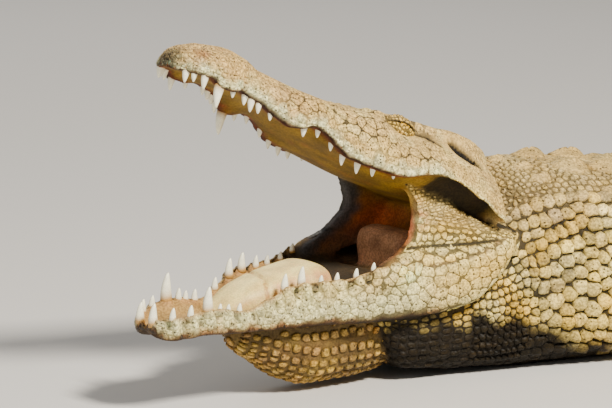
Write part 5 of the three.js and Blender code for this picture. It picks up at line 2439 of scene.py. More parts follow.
    def outlines(self, seeds: Seeds, near: Array, away: Array, angles: Array) -> Array:
        """Radii in millimetres of each scale's outline in the given directions.

        A scale reaches to the lines between it and its neighbours, less half the gap, and never
        past a rounded box of its own pitch and width.  The lines are drawn where the scale is as
        long as wide, then squeezed to its own shape, and blended by a power mean, which rounds
        the corners.

        Args:
            seeds: the scales.
            near: numbers of their neighbours in the whole coat.
            away: vectors to those neighbours, in metres.
            angles: directions, from the scale's rear.

        Returns:
            Radii of shape (n, directions).
        """
        away = away / MM
        size = seeds.half.mean(axis=1)
        squeeze = seeds.half / size[:, None]
        x = np.einsum("nkc,nc->nk", away, seeds.along) / squeeze[:, :1]
        y = np.einsum("nkc,nc->nk", away, seeds.across) / squeeze[:, 1:]
        distance = np.maximum(np.hypot(x, y), 1e-3)
        other = self.seeds.half.mean(axis=1)[near]
        line = np.maximum(distance * size[:, None] / (size[:, None] + other)
                          - 0.5 * seeds.trait("gap")[:, None], 0.5)
        facing = ((x / squeeze[:, :1])[:, :, None] * np.cos(angles)
                  + (y / squeeze[:, 1:])[:, :, None] * np.sin(angles))
        power = seeds.trait("corners")[:, None, None]
        closeness = np.maximum(facing / distance[:, :, None], 1e-4) / line[:, :, None]
        box = seeds.trait("fill")[:, None] * seeds.half
        own = ((np.abs(np.cos(angles)) / box[:, :1]) ** 4
               + (np.abs(np.sin(angles)) / box[:, 1:]) ** 4) ** 0.25
        total = np.sum(closeness**power, axis=1) + own ** power[:, 0]
        over = 1.0 + seeds.trait("lap")[:, None] * np.clip(np.cos(angles), 0, 1) ** 3
        return over * total ** (-1.0 / power[:, 0])

    @staticmethod
    def faces(count: int, sides: int, each: int) -> list[Array]:
        """Faces of count scales of each points: rings of quads, a fan on top and one below.

        Args:
            count: number of scales.
            sides: number of corners of each.
            each: number of points of each.

        Returns:
            Groups of faces: quads, triangles on top and a many-cornered face below.
        """
        rows = len(Coat.INSETS) + 1
        ring = quads(rows, sides, True)
        i = np.arange(sides)
        top = np.stack(((rows - 1) * sides + i, (rows - 1) * sides + (i + 1) % sides,
                        np.full(sides, rows * sides)), axis=-1)
        below = i[None, ::-1]
        start = (np.arange(count) * each)[:, None, None]
        return [(group[None] + start).reshape(-1, group.shape[1]) for group in (ring, top, below)]

    @staticmethod
    def chart(piece: bpy.types.Object, seeds: Seeds, spread: Array, reach: Array) -> None:
        """Lays each scale on the bake map as a small patch at its root's place.

        Args:
            piece: the finished piece.
            seeds: its scales.
            spread: their points, flat, in millimetres from the root.
            reach: radius of each scale in millimetres.
        """
        spot = seeds.chart[:, None] + BAKE_PATCH * spread / reach[:, None, None]
        corners = values_of(piece.data.loops, "vertex_index", 1, np.int32).ravel()
        layer = piece.data.uv_layers.new(name="OFBake")
        layer.data.foreach_set("uv", spot.reshape(-1, 2)[corners].astype(np.float32).ravel())


class CoatPiece(Enum):
    """The pieces that the coat is made in, and a slot name for each."""

    SKULL = ("scales_skull", "hide_head")
    JAW = ("scales_jaw", "hide_jaw")
    THROAT = ("scales_throat", "hide_throat")
    NECK = ("scales_neck", "hide_body")
    BACK = ("scales_back", "hide_body")
    FLANK = ("scales_flank", "hide_body")
    BELLY = ("scales_belly", "hide_body")
    TAIL = ("scales_tail", "hide_body")
    LEGS = ("scales_legs", "hide_body")
    FEET = ("scales_feet", "hide_body")

    @property
    def number(self) -> int:
        """Position of the piece in the list."""
        return list(CoatPiece).index(self)


def head_cuts(anatomy: Anatomy) -> list[tuple[CoatPiece, Patch, Cut]]:
    """Patches and cuts of the head, the mouth's corners and the throat.

    Args:
        anatomy: the animal.

    Returns:
        The coat piece, patch and cut of each region.
    """
    skull = anatomy.skull

    def skull_size(t: Array, v: Array) -> Array:
        """Cracked plates, small at the snout and on the lips, and fine grain on the rear lobe."""
        size = 7.0 + 7.5 * ramp(t, 15, 100) + 2.5 * ramp(t, 150, 260) - 7.0 * ramp(t, 375, 425)
        return size * (1.0 - 0.5 * ramp(np.abs(v), 0.8, 0.9) * fall(t, 370, 400))

    def unrest(t: Array, v: Array) -> Array:
        """Irregular field that opens some cracks and closes others."""
        places = skull.outside(t, v)
        return ripple(places.reshape(-1, 3), 46, 19).reshape(np.shape(t))

    def crack(t: Array, v: Array) -> Array:
        """Width of the cracks, which only open on the flank."""
        return 0.12 + (0.4 + 0.3 * unrest(t, v)) * skull.mosaic(t, v)

    def crack_rim(t: Array, v: Array) -> Array:
        """Brightness of the plates' edges, as painted shade: darker where cracks are open."""
        return 0.98 - (0.1 + 0.08 * unrest(t, v)) * skull.mosaic(t, v)

    def above_stain_and_shade(t: Array, v: Array) -> Array:
        """True over the keel's rusty stain and painted shade."""
        return np.minimum(v, 1.0 - v) * 14.0 > 1.6 * fall(t, 380, 440)

    def before_recess(fan: Array, share: Array) -> Array:
        """True below the recess under the skull, which is in painted shade."""
        return anatomy.cheeks.under(fan, np.abs(share)) < 0.965

    def off_slits(t: Array, v: Array) -> Array:
        """True away from the ear's slit and the crease, which stay bare.

        Args:
            t: millimetres back from the snout.
            v: place round the section.

        Returns:
            True where scales are laid.
        """
        _, side, up = skull.head.in_upper(skull.outside(t, v))
        around = [skull.slits(t + shift, np.abs(side), up) for shift in (-9, 0, 9)]
        return np.max(around, axis=0) < 0.2

    cracked = Cut(skull_size, skull_size, lambda t, v: 0.8 - 0.35 * skull.lobe(t, v), jitter=0.4,
                  gap=crack, dome=0.2, corners=80, tones=0.035, fill=3.2, rim=crack_rim,
                  drop=0.06, bevel=0.5, keep=off_slits)
    jaw_size = stepped(9.0, (3.0, 170, 260), (4.5, 270, 470))
    jaw = Cut(jaw_size, jaw_size, 0.8, jitter=0.42, gap=stepped(0.12, (0.25, 190, 330)),
              dome=0.2, corners=80, tones=0.035, fill=3.2, rim=stepped(0.98, (-0.06, 190, 330)),
              drop=0.05, bevel=0.5, keep=above_stain_and_shade)
    fan = Cut(stepped(12.0, (-5.0, 0.14, 0.22)), stepped(16.0, (-7.0, 0.14, 0.22)), 0.8,
              jitter=0.3, gap=0.5, dome=0.4, corners=50, tones=0.08, fill=3.0, rim=0.74, bevel=0.8)
    membrane = Cut(3.8, 11.0, 0.7, jitter=0.08, gap=0.35, dome=0.5, corners=40, tones=0.05,
                   fill=1.7, rim=0.74, bevel=0.8, keep=before_recess)
    pouch = Cut(15.0, 11.0, 2.2, jitter=0.14, gap=1.3, dome=1.2, tilt=0.35, corners=7,
                columns=anatomy.pouch.pleats * 4 // 5, tones=0.16, limit=9.0, rim=0.5,
                bevel=1.8, fill=1.35)
    lid = Cut(4.6, 5.2, 0.7, jitter=0.3, gap=0.5, dome=0.5, corners=8, tones=0.12, limit=3.0,
              fill=1.4, bevel=0.8)
    rows = [(CoatPiece.SKULL, skull.patches()[0], cracked)]
    rows += [(CoatPiece.SKULL, p, lid) for one in anatomy.lids for p in one.patches()]
    rows += [(CoatPiece.JAW, p, jaw) for p in anatomy.mandible.patches()[:2]]
    for p in anatomy.cheeks.patches()[:2]:
        rows += [(CoatPiece.JAW, replace(p, u=(-0.12, 0.5)), fan),
                 (CoatPiece.JAW, replace(p, u=(0.5, 1.1)), membrane)]
    rows += [(CoatPiece.THROAT, p, pouch) for p in anatomy.pouch.patches()]
    return rows


def body_cuts(anatomy: Anatomy) -> list[tuple[CoatPiece, Patch, Cut]]:
    """Patches and cuts of neck, back, flanks, belly and tail.

    Args:
        anatomy: the animal.

    Returns:
        The coat piece, patch and cut of each region.
    """
    hide = anatomy.body.patches()[0]
    top, level, low = math.radians(128), math.radians(52), math.radians(-38)
    behind_head, nape_end, shoulder, hip = -70.0, 262.0, 420.0, 1390.0

    def tail_pitch(s: Array, a: Array) -> Array:
        """Rings that shorten towards the tail's tip."""
        return 52.0 * (1.0 - 0.42 * (s - 1330.0) / 1895.0)

    def tail_keel(s: Array, a: Array) -> Array:
        """Keels on the tail's upper half."""
        return 3.5 * ramp(np.sin(a), 0.1, 0.7)

    flank_size = stepped(9.5, (8.0, -20, 45), (6.5, 100, 420))
    nape_size = stepped(9.0, (6.0, 40, 200))
    flank = Cut(flank_size, lambda s, a: 1.2 * flank_size(s, a), stepped(1.5, (2.1, 6, 90)),
                jitter=0.22, gap=stepped(0.7, (0.4, 10, 120)), dome=1.5, tilt=0.8, corners=12,
                tones=0.16, limit=10.0, fill=1.5, rim=0.34, bevel=1.8, lap=0.5)
    nape = Cut(nape_size, nape_size, 1.6, jitter=0.3, gap=1.0, dome=0.9, tilt=0.3, corners=9,
               tones=0.08, fill=1.5, rim=0.66)
    back = Cut(54.0, 44.0, 2.6, jitter=0.04, gap=3.0, dome=1.2, keel=6.5, tilt=0.3, corners=9,
               tones=0.1, rim=0.5)
    belly = Cut(26.0, 24.0, 1.2, jitter=0.05, gap=1.4, dome=0.2, tilt=0.15, corners=10,
                tones=0.06)
    throat = Cut(15.0, 9.0, 0.9, jitter=0.2, gap=0.9, dome=0.4, tilt=0.15, corners=9, tones=0.14,
                 limit=10.0, fill=1.5)
    tail = Cut(tail_pitch, stepped(30.0, (-17.0, hip, 3100)), 2.0, jitter=0.04, gap=1.8,
               dome=0.6, keel=tail_keel, tilt=0.25, corners=10, tones=0.1)
    left, right = (low, level), (math.pi - level, math.pi - low)
    over, under = (level, top), (math.pi - low, TAU + low)
    throat_front = (math.pi - 0.35, TAU + 0.35)
    rows = [
        (CoatPiece.NECK, (behind_head, shoulder), left, flank),
        (CoatPiece.FLANK, (shoulder, hip), left, flank),
        (CoatPiece.NECK, (behind_head, shoulder), right, flank),
        (CoatPiece.FLANK, (shoulder, hip), right, flank),
        (CoatPiece.NECK, (behind_head, nape_end), over, nape),
        (CoatPiece.BACK, (nape_end, hip), over, back),
        (CoatPiece.THROAT, (-200.0, behind_head), throat_front, throat),
        (CoatPiece.THROAT, (behind_head, 60.0), under, throat),
        (CoatPiece.BELLY, (60.0, hip), under, belly)]
    return [(piece, replace(hide, u=u, v=v, rounds=False), cut) for piece, u, v, cut in rows] \
        + [(CoatPiece.TAIL, replace(hide, u=(hip, 3222.0)), tail)]


def limb_cuts(anatomy: Anatomy) -> list[tuple[CoatPiece, Patch, Cut]]:
    """Patches and cuts of the legs and feet.

    Args:
        anatomy: the animal.

    Returns:
        The coat piece, patch and cut of each limb.
    """
    arm = Cut(17.0, 15.0, 1.6, jitter=0.16, gap=1.3, dome=0.8, tilt=0.3, corners=7, tones=0.12,
              limit=9.0)
    foot = Cut(9.5, 9.0, 1.1, jitter=0.16, gap=0.9, dome=0.6, tilt=0.25, corners=7, tones=0.1,
               limit=6.0)
    toe = Cut(8.5, 11.0, 1.1, jitter=0.06, gap=0.8, dome=0.5, tilt=0.3, corners=8, tones=0.1,
              limit=5.0)
    rows = []
    for limb in anatomy.limbs:
        kind = limb.name.rsplit("_", 1)[1]
        cut = {"arm": arm, "palm": foot}.get(kind, toe)
        piece = CoatPiece.LEGS if kind == "arm" else CoatPiece.FEET
        rows += [(piece, patch, cut) for patch in limb.patches()]
    return rows


def all_seeds(anatomy: Anatomy) -> Seeds:
    """Lays the scales of every region.

    Args:
        anatomy: the animal.

    Returns:
        The roots of all scales.
    """
    rows = head_cuts(anatomy) + body_cuts(anatomy) + limb_cuts(anatomy)
    rng = np.random.default_rng(37)
    parts = []
    for piece in CoatPiece:
        own = [row for row in rows if row[0] is piece]
        deep = 1.0 / len(own)
        parts += [lay_scales(patch, cut, piece.number, rng, (k / len(own), k / len(own) + deep))
                  for k, (_, patch, cut) in enumerate(own)]
    return Seeds.joined(parts)


# ---- teeth, claws
ToothRow = Sequence[tuple[float, float, float]]

UPPER_TEETH: ToothRow = (
    (5, 14, 14), (13, 11, 12), (25, 17, 14), (46, 26, 15), (69, 8, 8), (94, 13, 10),
    (105, 17, 12), (116, 13, 13), (133, 8, 12), (157, 0, 28), (181, 12, 9), (203, 10, 10),
    (232, 9, 10), (255, 12, 10), (279, 14, 12), (302, 10, 10), (333, 5, 6))
LOWER_TEETH: ToothRow = (
    (6, 23, 20), (24, 13, 14), (46, 13, 12), (72, 29, 33), (91, 7, 13), (103, 7, 10),
    (119, 10, 13), (158, 0, 13), (188, 18, 20), (213, 21, 20), (241, 7, 12), (264, 8, 9),
    (292, 8, 6), (318, 6, 6))


@dataclass(frozen=True)
class Spike:
    """A tooth or claw: a tapering round body, bent to the rear, from inside its socket."""

    root: Array
    axis: Array
    lean: Array
    height: float
    radius: float
    bend: float = 0.2
    taper: float = 0.6

    def shell(self, rows: int = 10, sides: int = 14) -> Shell:
        """Closed shell: the radius falls as a power of height and closes in a round tip, and the
        axis bends by the square of the height.

        Args:
            rows: number of rings.
            sides: number of corners of a ring.

        Returns:
            The shell.
        """
        h = 1 - np.linspace(1, 0, rows) ** 1.5
        radius = self.radius * (1 - self.taper * h**1.4) * np.sqrt(np.clip(1 - h**5, 0, 1))
        side = unit(np.cross(self.axis, self.lean))
        fore = np.cross(side, self.axis)
        angle = np.arange(sides) / sides * TAU
        centre = self.root + MM * (self.height * (h[:, None] * self.axis
                                                  + self.bend * (h**2)[:, None] * self.lean))
        ring = (np.cos(angle)[None, :, None] * side + 1.12 * np.sin(angle)[None, :, None] * fore)
        return tube(centre[:, None] + MM * radius[:, None, None] * ring)


class Teeth:
    """Both rows of teeth, rooted just inside the lips."""

    ROOT = 7.0  # how far a tooth starts inside the gum

    def __init__(self, anatomy: Anatomy) -> None:
        """Keeps the anatomy."""
        self.anatomy = anatomy

    def spikes(self, upper: bool) -> list[Spike]:
        """The teeth of one jaw, both sides.

        Args:
            upper: whether the jaw is the upper one.

        Returns:
            One spike for each tooth.
        """
        head = self.anatomy.head
        if upper:
            form, edge, place, row = self.anatomy.skull, Skull.lip, head.upper, UPPER_TEETH
        else:
            form, edge, place, row = self.anatomy.mandible, Mandible.rim, head.lower, LOWER_TEETH
        pointing = -1.0 if upper else 1.0
        forward, _, lift = head.axes(head.upper_pitch if upper else head.lower_pitch)
        made = []
        for t, left, right in row:
            inset = 8 + 10 * ramp(t, 130, 300) if upper else 9 + 5 * ramp(t, 120, 240)
            side = max(float(curve(form.half_width, t) - inset), 6.0 + 0.5 * t if t < 20 else 6.0)
            up = float(curve(edge, t)) - pointing * self.ROOT
            made += [Spike(place(*np.array([t, y, up])), lift * pointing, -forward,
                           height + self.ROOT, 3.1 + 0.14 * height, taper=0.55)
                     for y, height in ((side, left), (-side, right)) if height]
        return made

    def build(self, name: str, upper: bool) -> bpy.types.Object:
        """One jaw's teeth, yellow at the root and white at the tip.

        Args:
            name: the piece's name.
            upper: whether the jaw is the upper one.

        Returns:
            The object, painted.
        """
        parts = []
        for spike in self.spikes(upper):
            shell = spike.shell()
            h = (shell[0] - spike.root) @ spike.axis / MM / spike.height
            parts.append((shell, mix(flood(len(h), Tint.OCHRE), srgb(255, 250, 222),
                                     ramp(h, 0.12, 0.45))))
        return painted(name, parts, 0.8)


def claws(anatomy: Anatomy) -> bpy.types.Object:
    """Dark claws on the first three toes of each foot, bent down to the floor.

    Args:
        anatomy: the animal.

    Returns:
        The object, painted.
    """
    parts = []
    for leg, side in itertools.product((FRONT_LEG, HIND_LEG), (1, -1)):
        for back, out, radius in leg.toes[:leg.clawed]:
            base = np.asarray(leg.palm_at)
            run = np.subtract((back, out), base)
            tip = base + run * 0.93
            root = anatomy.spine.trunk_point(*np.array([tip[0], side * tip[1], 8.0]))
            way = unit(np.array([run[0], -side * run[1], 0.0]))
            spike = Spike(root, unit(way + np.array([0, 0, 0.05])), np.array([0, 0, -1.0]),
                          0.24 * float(np.hypot(*run)), radius * 0.5, taper=0.85)
            points, faces = spike.shell(12, 12)
            points[:, 2] = np.maximum(points[:, 2], ON_FLOOR * MM)
            parts.append(((points, faces), flood(len(points), Tint.DARK)))
    return painted("claws", parts, 0.5)


@dataclass(frozen=True)
class Crest:
    """Upright scutes along the tail: two rows that meet past the middle and run on as one."""

    body: Body
    pitch: float = 52.0
    start: float = 1330.0
    double_share: float = 0.52

    def fins(self) -> list[Station]:
        """(s, angle, length, half thickness, height) of every scute.

        Returns:
            The stations, from the front.
        """
        made = []
        s = self.start + self.pitch
        while s < self.body.end - 60:
            along = (s - self.start) / (self.body.end - self.start)
            pitch = self.pitch * (1 - 0.42 * along)
            if along < self.double_share:
                turn, height = 0.62 - 0.85 * along, 14 + 40 * along
                made += [(s, math.pi / 2 + way * turn, pitch, 7.0, height) for way in (1, -1)]
            else:
                past = (along - self.double_share) / (1 - self.double_share)
                made.append((s, math.pi / 2, pitch, 5.5, 40 - 26 * past))
            s += pitch
        return made

    def fin(self, s: float, angle: float, length: float, thick: float, height: float) -> Shell:
        """A leaf standing on the hide: its edge rises steadily and drops at the rear.

        Args:
            s: millimetres back along the spine.
            angle: place round the body.
            length: length at the foot.
            thick: half the thickness at the foot.
            height: height above the hide.

        Returns:
            The shell.
        """
        hide = self.body.patches()[0]
        foot, along, across, out = hide.frame(np.array([s]), np.array([angle]))
        up = np.linspace(0, 1, 6)
        a = np.arange(12) / 12 * TAU
        slant = 0.34 * up
        reach = 0.5 * length * (1 - 0.88 * up**1.3)
        wide = thick * (1 - 0.86 * up**0.8)
        rings = (foot + MM * (
            (np.cos(a)[None, :, None] * reach[:, None, None]
             + (slant * length)[:, None, None]) * along
            + (np.sin(a)[None, :, None] * wide[:, None, None]) * across
            + ((up * (height + 5) - 5)[:, None, None]) * out))
        return tube(rings)

    def build(self) -> bpy.types.Object:
        """All scutes of the crest, a little darker than the hide.

        Returns:
            The object, painted.
        """
        parts = []
        for s, angle, length, thick, height in self.fins():
            shell = self.fin(s, angle, length, thick, height)
            parts.append((shell, self.body.paint_at(s, angle, shell[0]) * 0.9))
        return painted("tail_crest", parts, 0.1)


@dataclass(frozen=True)
class NapeScutes:
    """The keeled bony scutes behind the skull and on the nape."""

    body: Body
    tilt: float = math.pi / 2 - 0.07
    scutes: tuple[Station, ...] = (
        (150, 0.18, 62, 23, 15), (150, -0.18, 62, 23, 15), (218, 0.18, 62, 23, 15),
        (218, -0.18, 62, 23, 15), (186, 0.62, 58, 20, 13), (186, -0.62, 58, 20, 13),
        (76, 0.12, 30, 10, 8), (76, -0.12, 30, 10, 8), (76, 0.36, 30, 10, 8),
        (76, -0.36, 30, 10, 8))

    def build(self) -> bpy.types.Object:
        """Each scute is a low oval cushion with a sharp keel that is highest near its rear.

        Returns:
            The object, painted.
        """
        hide = self.body.patches()[0]
        parts = []
        for s, turn, length, half_width, height in self.scutes:
            foot, along, across, out = hide.frame(np.array([s]), np.array([self.tilt + turn]))
            share = np.array([1.0, 0.99, 0.9, 0.72, 0.5, 0.28, 0.12])
            a = np.arange(28) / 28 * TAU
            x = 0.5 * length * np.cos(a)[None] * share[:, None]
            y = half_width * np.sin(a)[None] * share[:, None]
            rear = 0.75 + 0.35 * x / (0.5 * length)
            ridge = np.exp(-((np.abs(y) / (0.2 * half_width)) ** 1.2))
            ends = (1 - (np.abs(x) / (0.5 * length)) ** 2.2).clip(0, 1)
            z = (0.34 * height * (1 - share[:, None] ** 3) ** 0.8
                 + 0.72 * height * ridge * ends * rear)
            z[0] = -7.0
            rings = foot + MM * (x[..., None] * along + y[..., None] * across + z[..., None] * out)
            shell = tube(rings)
            hide_colour = self.body.paint_at(s, self.tilt + turn, shell[0])
            parts.append((shell, mix(hide_colour, Tint.SAND, 0.35)))
        return painted("nape_scutes", parts, 0.08)


def eyeball(anatomy: Anatomy, label: str, side: int) -> bpy.types.Object:
    """One eye: a ball with a clear bulge, painted as golden iris, dark slit and brown white.

    Args:
        anatomy: the animal.
        label: left or right, as the name ends.
        side: 1 for the left eye, -1 for the right.

    Returns:
        The object, painted.
    """
    eye = anatomy.eye
    centre, forward, out, over = eye.frame(anatomy.head, side)
    rows, columns = 48, 64
    polar = np.linspace(0.02, math.pi - 0.02, rows)
    turn = np.arange(columns) / columns * TAU
    pp, tt = np.meshgrid(polar, turn, indexing="ij")
    radius = eye.ball + 0.8 * fall(pp, 0.4, 0.75)
    way = (np.cos(pp)[..., None] * out + (np.sin(pp) * np.cos(tt))[..., None] * forward
           + (np.sin(pp) * np.sin(tt))[..., None] * over)
    piece = mesh_object(f"eyeball_{label}", tube(centre + MM * radius[..., None] * way))
    points = points_of(piece.data)
    local = (points - centre) / MM / eye.ball
    x, y, depth = local @ forward, local @ over, local @ out
    iris = fall(np.hypot(x, y), 0.5, 0.56)
    slit = fall(np.abs(x), 0.05, 0.09) * fall(np.abs(y), 0.36, 0.46)
    colour = mix(flood(len(points), Tint.OCHRE), srgb(214, 164, 52), iris)
    colour = mix(colour, srgb(12, 9, 6), slit * (depth > 0))
    give_colours(piece.data, colour, np.full(len(points), 1.0))
    return piece


# ---- finishes
Socket = bpy.types.NodeSocket


class Wires:
    """Adds nodes to a material's tree and joins them."""

    def __init__(self, tree: bpy.types.NodeTree) -> None:
        """Keeps the tree."""
        self.tree = tree

    def feed(self, node: bpy.types.Node, inputs: dict) -> None:
        """Gives a node's inputs what they read: a socket to link, or a constant.

        Args:
            node: the node.
            inputs: names or numbers of inputs, and what each reads.
        """
        for key, value in inputs.items():
            if isinstance(value, Socket):
                self.tree.links.new(value, node.inputs[key])
            else:
                node.inputs[key].default_value = value

    def add(self, kind: str, inputs: dict | None = None, **settings: str) -> bpy.types.Node:
        """Adds a node with its settings and its inputs.

        Args:
            kind: the node's type, without its common first word.
            inputs: what its inputs read.
            settings: values of its other properties.

        Returns:
            The node.
        """
        made = self.tree.nodes.new("ShaderNode" + kind)
        for key, value in settings.items():
            setattr(made, key, value)
        self.feed(made, inputs or {})
        return made

    def noise(self, place: Socket, size: float, detail: float) -> Socket:
        """Noise whose lumps are about size millimetres across."""
        inputs = {"Scale": 1.0 / (size * MM), "Detail": detail, "Vector": place}
        return self.add("TexNoise", inputs).outputs["Fac"]

    def math(self, operation: str, first: Socket, second: Socket | float) -> Socket:
        """A Math node of two inputs."""
        return self.add("Math", {0: first, 1: second}, operation=operation).outputs[0]

    def spread(self, value: Socket, low: float, high: float, start: float, end: float) -> Socket:
        """A value between low and high as one between start and end, held at both."""
        return self.add("MapRange", {"Value": value, "From Min": low, "From Max": high,
                                     "To Min": start, "To Max": end}).outputs[0]


@dataclass(frozen=True)
class Finish:
    """A finish whose colour is the stored paint, broken up by noise, pits and a fine relief.

    Lengths are millimetres.
    """

    name: str
    dry: float = 0.78  # roughness where wetness is 0
    damp: float = 0.28  # roughness where wetness is 1
    cloud: float = 26.0  # size of the soft patches in the colour
    cloud_share: float = 0.2
    grain: float = 1.6  # size of the fine relief
    grain_depth: float = 0.25
    speck: float = 0.14  # how much the fine relief changes the colour
    pits: float = 0.0  # share of dark pits
    pit_size: float = 4.2
    sheen: float = 0.35  # specular level
    flesh: float = 0.0  # subsurface share
    coat: float = 0.0

    def material(self) -> bpy.types.Material:
        """Builds the node tree.

        Returns:
            The material.
        """
        made = bpy.data.materials.new(self.name)
        made.use_nodes = True
        wires = Wires(made.node_tree)
        shader = made.node_tree.nodes["Principled BSDF"]
        place = wires.add("TexCoord").outputs["Object"]
        paint = wires.add("Attribute", attribute_name="paint").outputs["Color"]
        wet = wires.add("Attribute", attribute_name="wet").outputs["Fac"]
        cloud = wires.noise(place, self.cloud, 4.0)
        grain = wires.noise(place, self.grain, 3.0)
        tone = wires.spread(cloud, 0.3, 0.7, 1.0 - self.cloud_share, 1.0 + self.cloud_share)
        speck = wires.spread(grain, 0.42, 0.58, 1.0 - self.speck, 1.0 + 0.6 * self.speck)
        base = wires.add("VectorMath", {0: paint, "Scale": wires.math("MULTIPLY", tone, speck)},
                         operation="SCALE").outputs[0]
        height = grain
        if self.pits:
            pit = self.pit_mask(wires, place)
            height = wires.math("SUBTRACT", grain, wires.math("MULTIPLY", pit, 1.4))
            base = wires.add("Mix", {"Factor": wires.math("MULTIPLY", pit, 0.85), 6: base,
                                     7: (*Tint.DARK.linear, 1.0)}, data_type="RGBA").outputs[2]
        rough = wires.add("MapRange", {"Value": wet, "To Min": self.dry, "To Max": self.damp})
        bump = wires.add("Bump", {"Distance": self.grain_depth * MM, "Height": height})
        wires.feed(shader, {
            "Specular IOR Level": self.sheen, "Coat Weight": self.coat, "Coat Roughness": 0.06,
            "Base Color": base, "Roughness": rough.outputs[0], "Normal": bump.outputs["Normal"]})
        if self.flesh:
            wires.feed(shader, {"Subsurface Weight": self.flesh, "Subsurface Scale": 0.5,
                                "Subsurface Radius": (0.012, 0.006, 0.003)})
        return made

    def pit_mask(self, wires: Wires, place: Socket) -> Socket:
        """1 in small round pits scattered over the surface, 0 between them.

        Args:
            wires: the tree that the nodes join.
            place: socket with the place on the object.

        Returns:
            The socket of the mask.
        """
        cells = wires.add("TexVoronoi", {"Scale": 1.0 / (self.pit_size * MM), "Vector": place})
        near = wires.spread(cells.outputs["Distance"], 0.16, 0.34, 1.0, 0.0)
        split = wires.add("SeparateColor", {0: cells.outputs["Color"]})
        return wires.math("MULTIPLY", near, wires.math("LESS_THAN", split.outputs[0], self.pits))


SKIN_FINISH = Finish("hide_skin", dry=0.8, damp=0.3, cloud_share=0.25, grain=3.0,
                     grain_depth=0.6, speck=0.25, sheen=0.18, flesh=0.05)
DRY_SCALES = Finish("hide_dry", dry=0.72, damp=0.3, cloud=12, grain=3.0, grain_depth=1.0,
                    speck=0.42, pits=0.5, sheen=0.25)
JAW_SCALES = Finish("hide_pitted", dry=0.66, damp=0.3, cloud=12, grain=3.0, grain_depth=1.0,
                    speck=0.36, pits=0.5, pit_size=5.0)
BODY_SCALES = Finish("hide_scutes", dry=0.62, damp=0.25, cloud_share=0.22, grain=3.0,
                     grain_depth=0.8, speck=0.36, pits=0.35, pit_size=5.5, sheen=0.16)
IVORY = Finish("tooth_ivory", dry=0.4, damp=0.22, cloud=6, cloud_share=0.08, grain=0.8,
               grain_depth=0.08, sheen=0.5)
HORN = Finish("claw_horn", dry=0.5, damp=0.3, cloud=8, grain_depth=0.15)
LINING = Finish("mouth_lining", dry=0.6, damp=0.3, cloud=14, cloud_share=0.12, grain=2.2,
                grain_depth=0.35, flesh=0.15)
CORNEA = Finish("eye_gloss", dry=0.2, damp=0.06, cloud=2.2, cloud_share=0.25, grain_depth=0.02,
                sheen=0.6, coat=1.0)

COAT_FINISH = {CoatPiece.SKULL: DRY_SCALES, CoatPiece.JAW: JAW_SCALES}  # others: BODY_SCALES


# ---- stage
@dataclass(frozen=True)
class Studio:
    """Pale floor, soft lights, and the camera at a low angle before the open mouth."""

    head: HeadFrame
    distance: float = 4.4996
    azimuth: float = math.radians(23.494)
    elevation: float = math.radians(10.55)
    pixels_per_metre_at_1m: float = 3231.6
    image: tuple[float, float] = (612.0, 408.0)
    joint_pixel: tuple[float, float] = (461.257, 218.832)

    def camera(self) -> bpy.types.Object:
        """The camera looks a little past the jaw joint, so that the joint falls on its pixel.

        Returns:
            The camera, which is the active one.
        """
        a, e = self.azimuth, self.elevation
        ahead = Vector((math.sin(a) * math.cos(e), math.cos(a) * math.cos(e), -math.sin(e)))
        right = Vector((math.cos(a), -math.sin(a), 0.0))
        up = right.cross(ahead)
        place = Vector(self.head.hinge) - self.distance * ahead
        off_x = (self.joint_pixel[0] - self.image[0] / 2) / self.pixels_per_metre_at_1m
        off_y = (self.joint_pixel[1] - self.image[1] / 2) / self.pixels_per_metre_at_1m
        look = (ahead - off_x * right + off_y * up).normalized()
        lens = bpy.data.cameras.new("camera")
        lens.sensor_width = 36.0
        lens.lens = self.pixels_per_metre_at_1m * lens.sensor_width / self.image[0]
        lens.clip_end = 60.0
        camera = bpy.data.objects.new("camera", lens)
        camera.location = place
        camera.rotation_euler = look.to_track_quat("-Z", "Y").to_euler()
        bpy.context.scene.collection.objects.link(camera)
        bpy.context.scene.camera = camera
        return camera

    def light(self, name: str, place: Sequence[float], power: float, size: float,
              colour: Sequence[float]) -> None:
        """A soft square light that faces the head.

        Args:
            name: the light's name.
            place: metres from the jaw joint.
            power: watts.
            size: length of a side in metres.
            colour: linear RGB.
        """
        lamp = bpy.data.lights.new(name, "AREA")
        lamp.energy, lamp.size, lamp.color = power, size, colour
        thing = bpy.data.objects.new(name, lamp)
        target = Vector(self.head.hinge)
        thing.location = target + Vector(place)
        thing.rotation_euler = (-Vector(place)).to_track_quat("-Z", "Y").to_euler()
        bpy.context.scene.collection.objects.link(thing)

    def build(self) -> None:
        """Camera, lights, pale surroundings and floor."""
        self.camera()
        self.light("key", (0.7, -3.2, 3.3), 500.0, 0.8, (1.0, 0.94, 0.83))
        self.light("fill", (-4.5, -2.0, 2.6), 50.0, 3.0, (0.96, 0.97, 1.0))
        self.light("rim", (0.5, 4.5, 3.4), 90.0, 3.0, (1.0, 0.98, 0.95))
        world = bpy.data.worlds.new("surroundings")
        world.use_nodes = True
        sky = world.node_tree.nodes["Background"]
        sky.inputs["Color"].default_value = (0.9, 0.88, 0.85, 1.0)
        sky.inputs["Strength"].default_value = 0.3
        bpy.context.scene.world = world
        corner = 9.0
        floor = mesh_object("floor", (
            np.array([[-corner, -corner, 0], [corner, -corner, 0], [corner, corner, 0],
                      [-corner, corner, 0]]), [np.array([[0, 1, 2, 3]])]), False)
        paint = bpy.data.materials.new("floor_paint")
        paint.use_nodes = True
        shader = paint.node_tree.nodes["Principled BSDF"]
        shader.inputs["Base Color"].default_value = (0.62, 0.6, 0.57, 1.0)
        shader.inputs["Roughness"].default_value = 0.9
        floor.data.materials.append(paint)


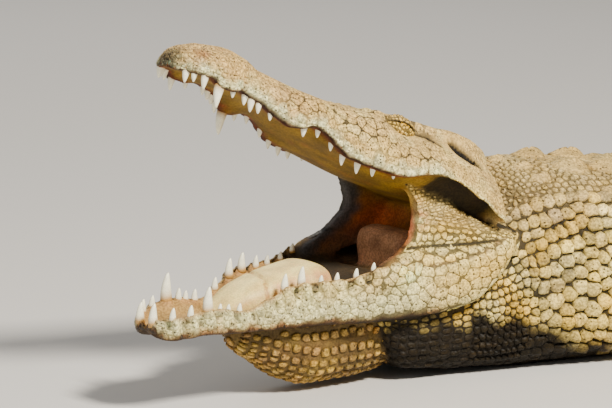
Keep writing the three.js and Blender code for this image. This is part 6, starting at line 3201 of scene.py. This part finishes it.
# ---- assembly
class Crocodile:
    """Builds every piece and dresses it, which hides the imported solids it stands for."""

    def __init__(self, anatomy: Anatomy) -> None:
        """Keeps the anatomy and an empty store for the finishes, which dress() makes once each."""
        self.anatomy = anatomy
        self.made: dict[str, bpy.types.Material] = {}

    def dress(self, piece: bpy.types.Object, finish: Finish, slot: str, *nodes: str) -> None:
        """Gives a piece its finish and its place, and hides the solids it stands for.

        Args:
            piece: the piece.
            finish: its finish.
            slot: not used.
            nodes: the solids that the piece stands for.
        """
        if finish.name not in self.made:
            self.made[finish.name] = finish.material()
        piece.data.materials.append(self.made[finish.name])
        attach(piece, "root")
        if nodes:
            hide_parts(*nodes)
        log.info("%s: %d faces", piece.name, len(piece.data.polygons))

    def build(self) -> None:
        """Skin first, then the coat on it, then the hard and wet parts."""
        skin = Skin(self.anatomy).build()
        self.dress(skin, SKIN_FINISH, "hide_body", *FLESH)
        coat = Coat(skin, all_seeds(self.anatomy), self.anatomy.shadow,
                    PaintSamples(self.anatomy.patches()))
        for piece in CoatPiece:
            name, slot = piece.value
            sides = 12 if piece in (CoatPiece.SKULL, CoatPiece.JAW) else 10
            self.dress(coat.build(name, piece.number, sides), COAT_FINISH.get(piece, BODY_SCALES),
                       slot)
        teeth, body = Teeth(self.anatomy), self.anatomy.body
        for hard, finish, slot in (
                (NapeScutes(body).build(), BODY_SCALES, "hide_body"),
                (Crest(body).build(), BODY_SCALES, "hide_body"),
                (teeth.build("teeth_upper", True), IVORY, "teeth"),
                (teeth.build("teeth_lower", False), IVORY, "teeth"),
                (claws(self.anatomy), HORN, "claws")):
            self.dress(hard, finish, slot)
        pad = self.anatomy.tongue
        tongue = mesh_object("tongue_pad", pad.shell(90, 96))
        points = points_of(tongue.data)
        colour, wet, _ = PaintSamples(pad.patches(), 3.0).read(points)
        give_colours(tongue.data, colour, wet)
        self.dress(tongue, LINING, "tongue", "tongue")
        for label, side in (("left", 1), ("right", -1)):
            self.dress(eyeball(self.anatomy, label, side), CORNEA, "eye", f"eye_{label}")


def main() -> None:
    """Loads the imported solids, builds the animal around them, and sets the studio."""
    logging.basicConfig(level=logging.INFO, format="%(message)s")
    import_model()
    anatomy = anatomy_from_frame()
    Studio(anatomy.head).build()
    Crocodile(anatomy).build()


if __name__ == "__main__":
    main()
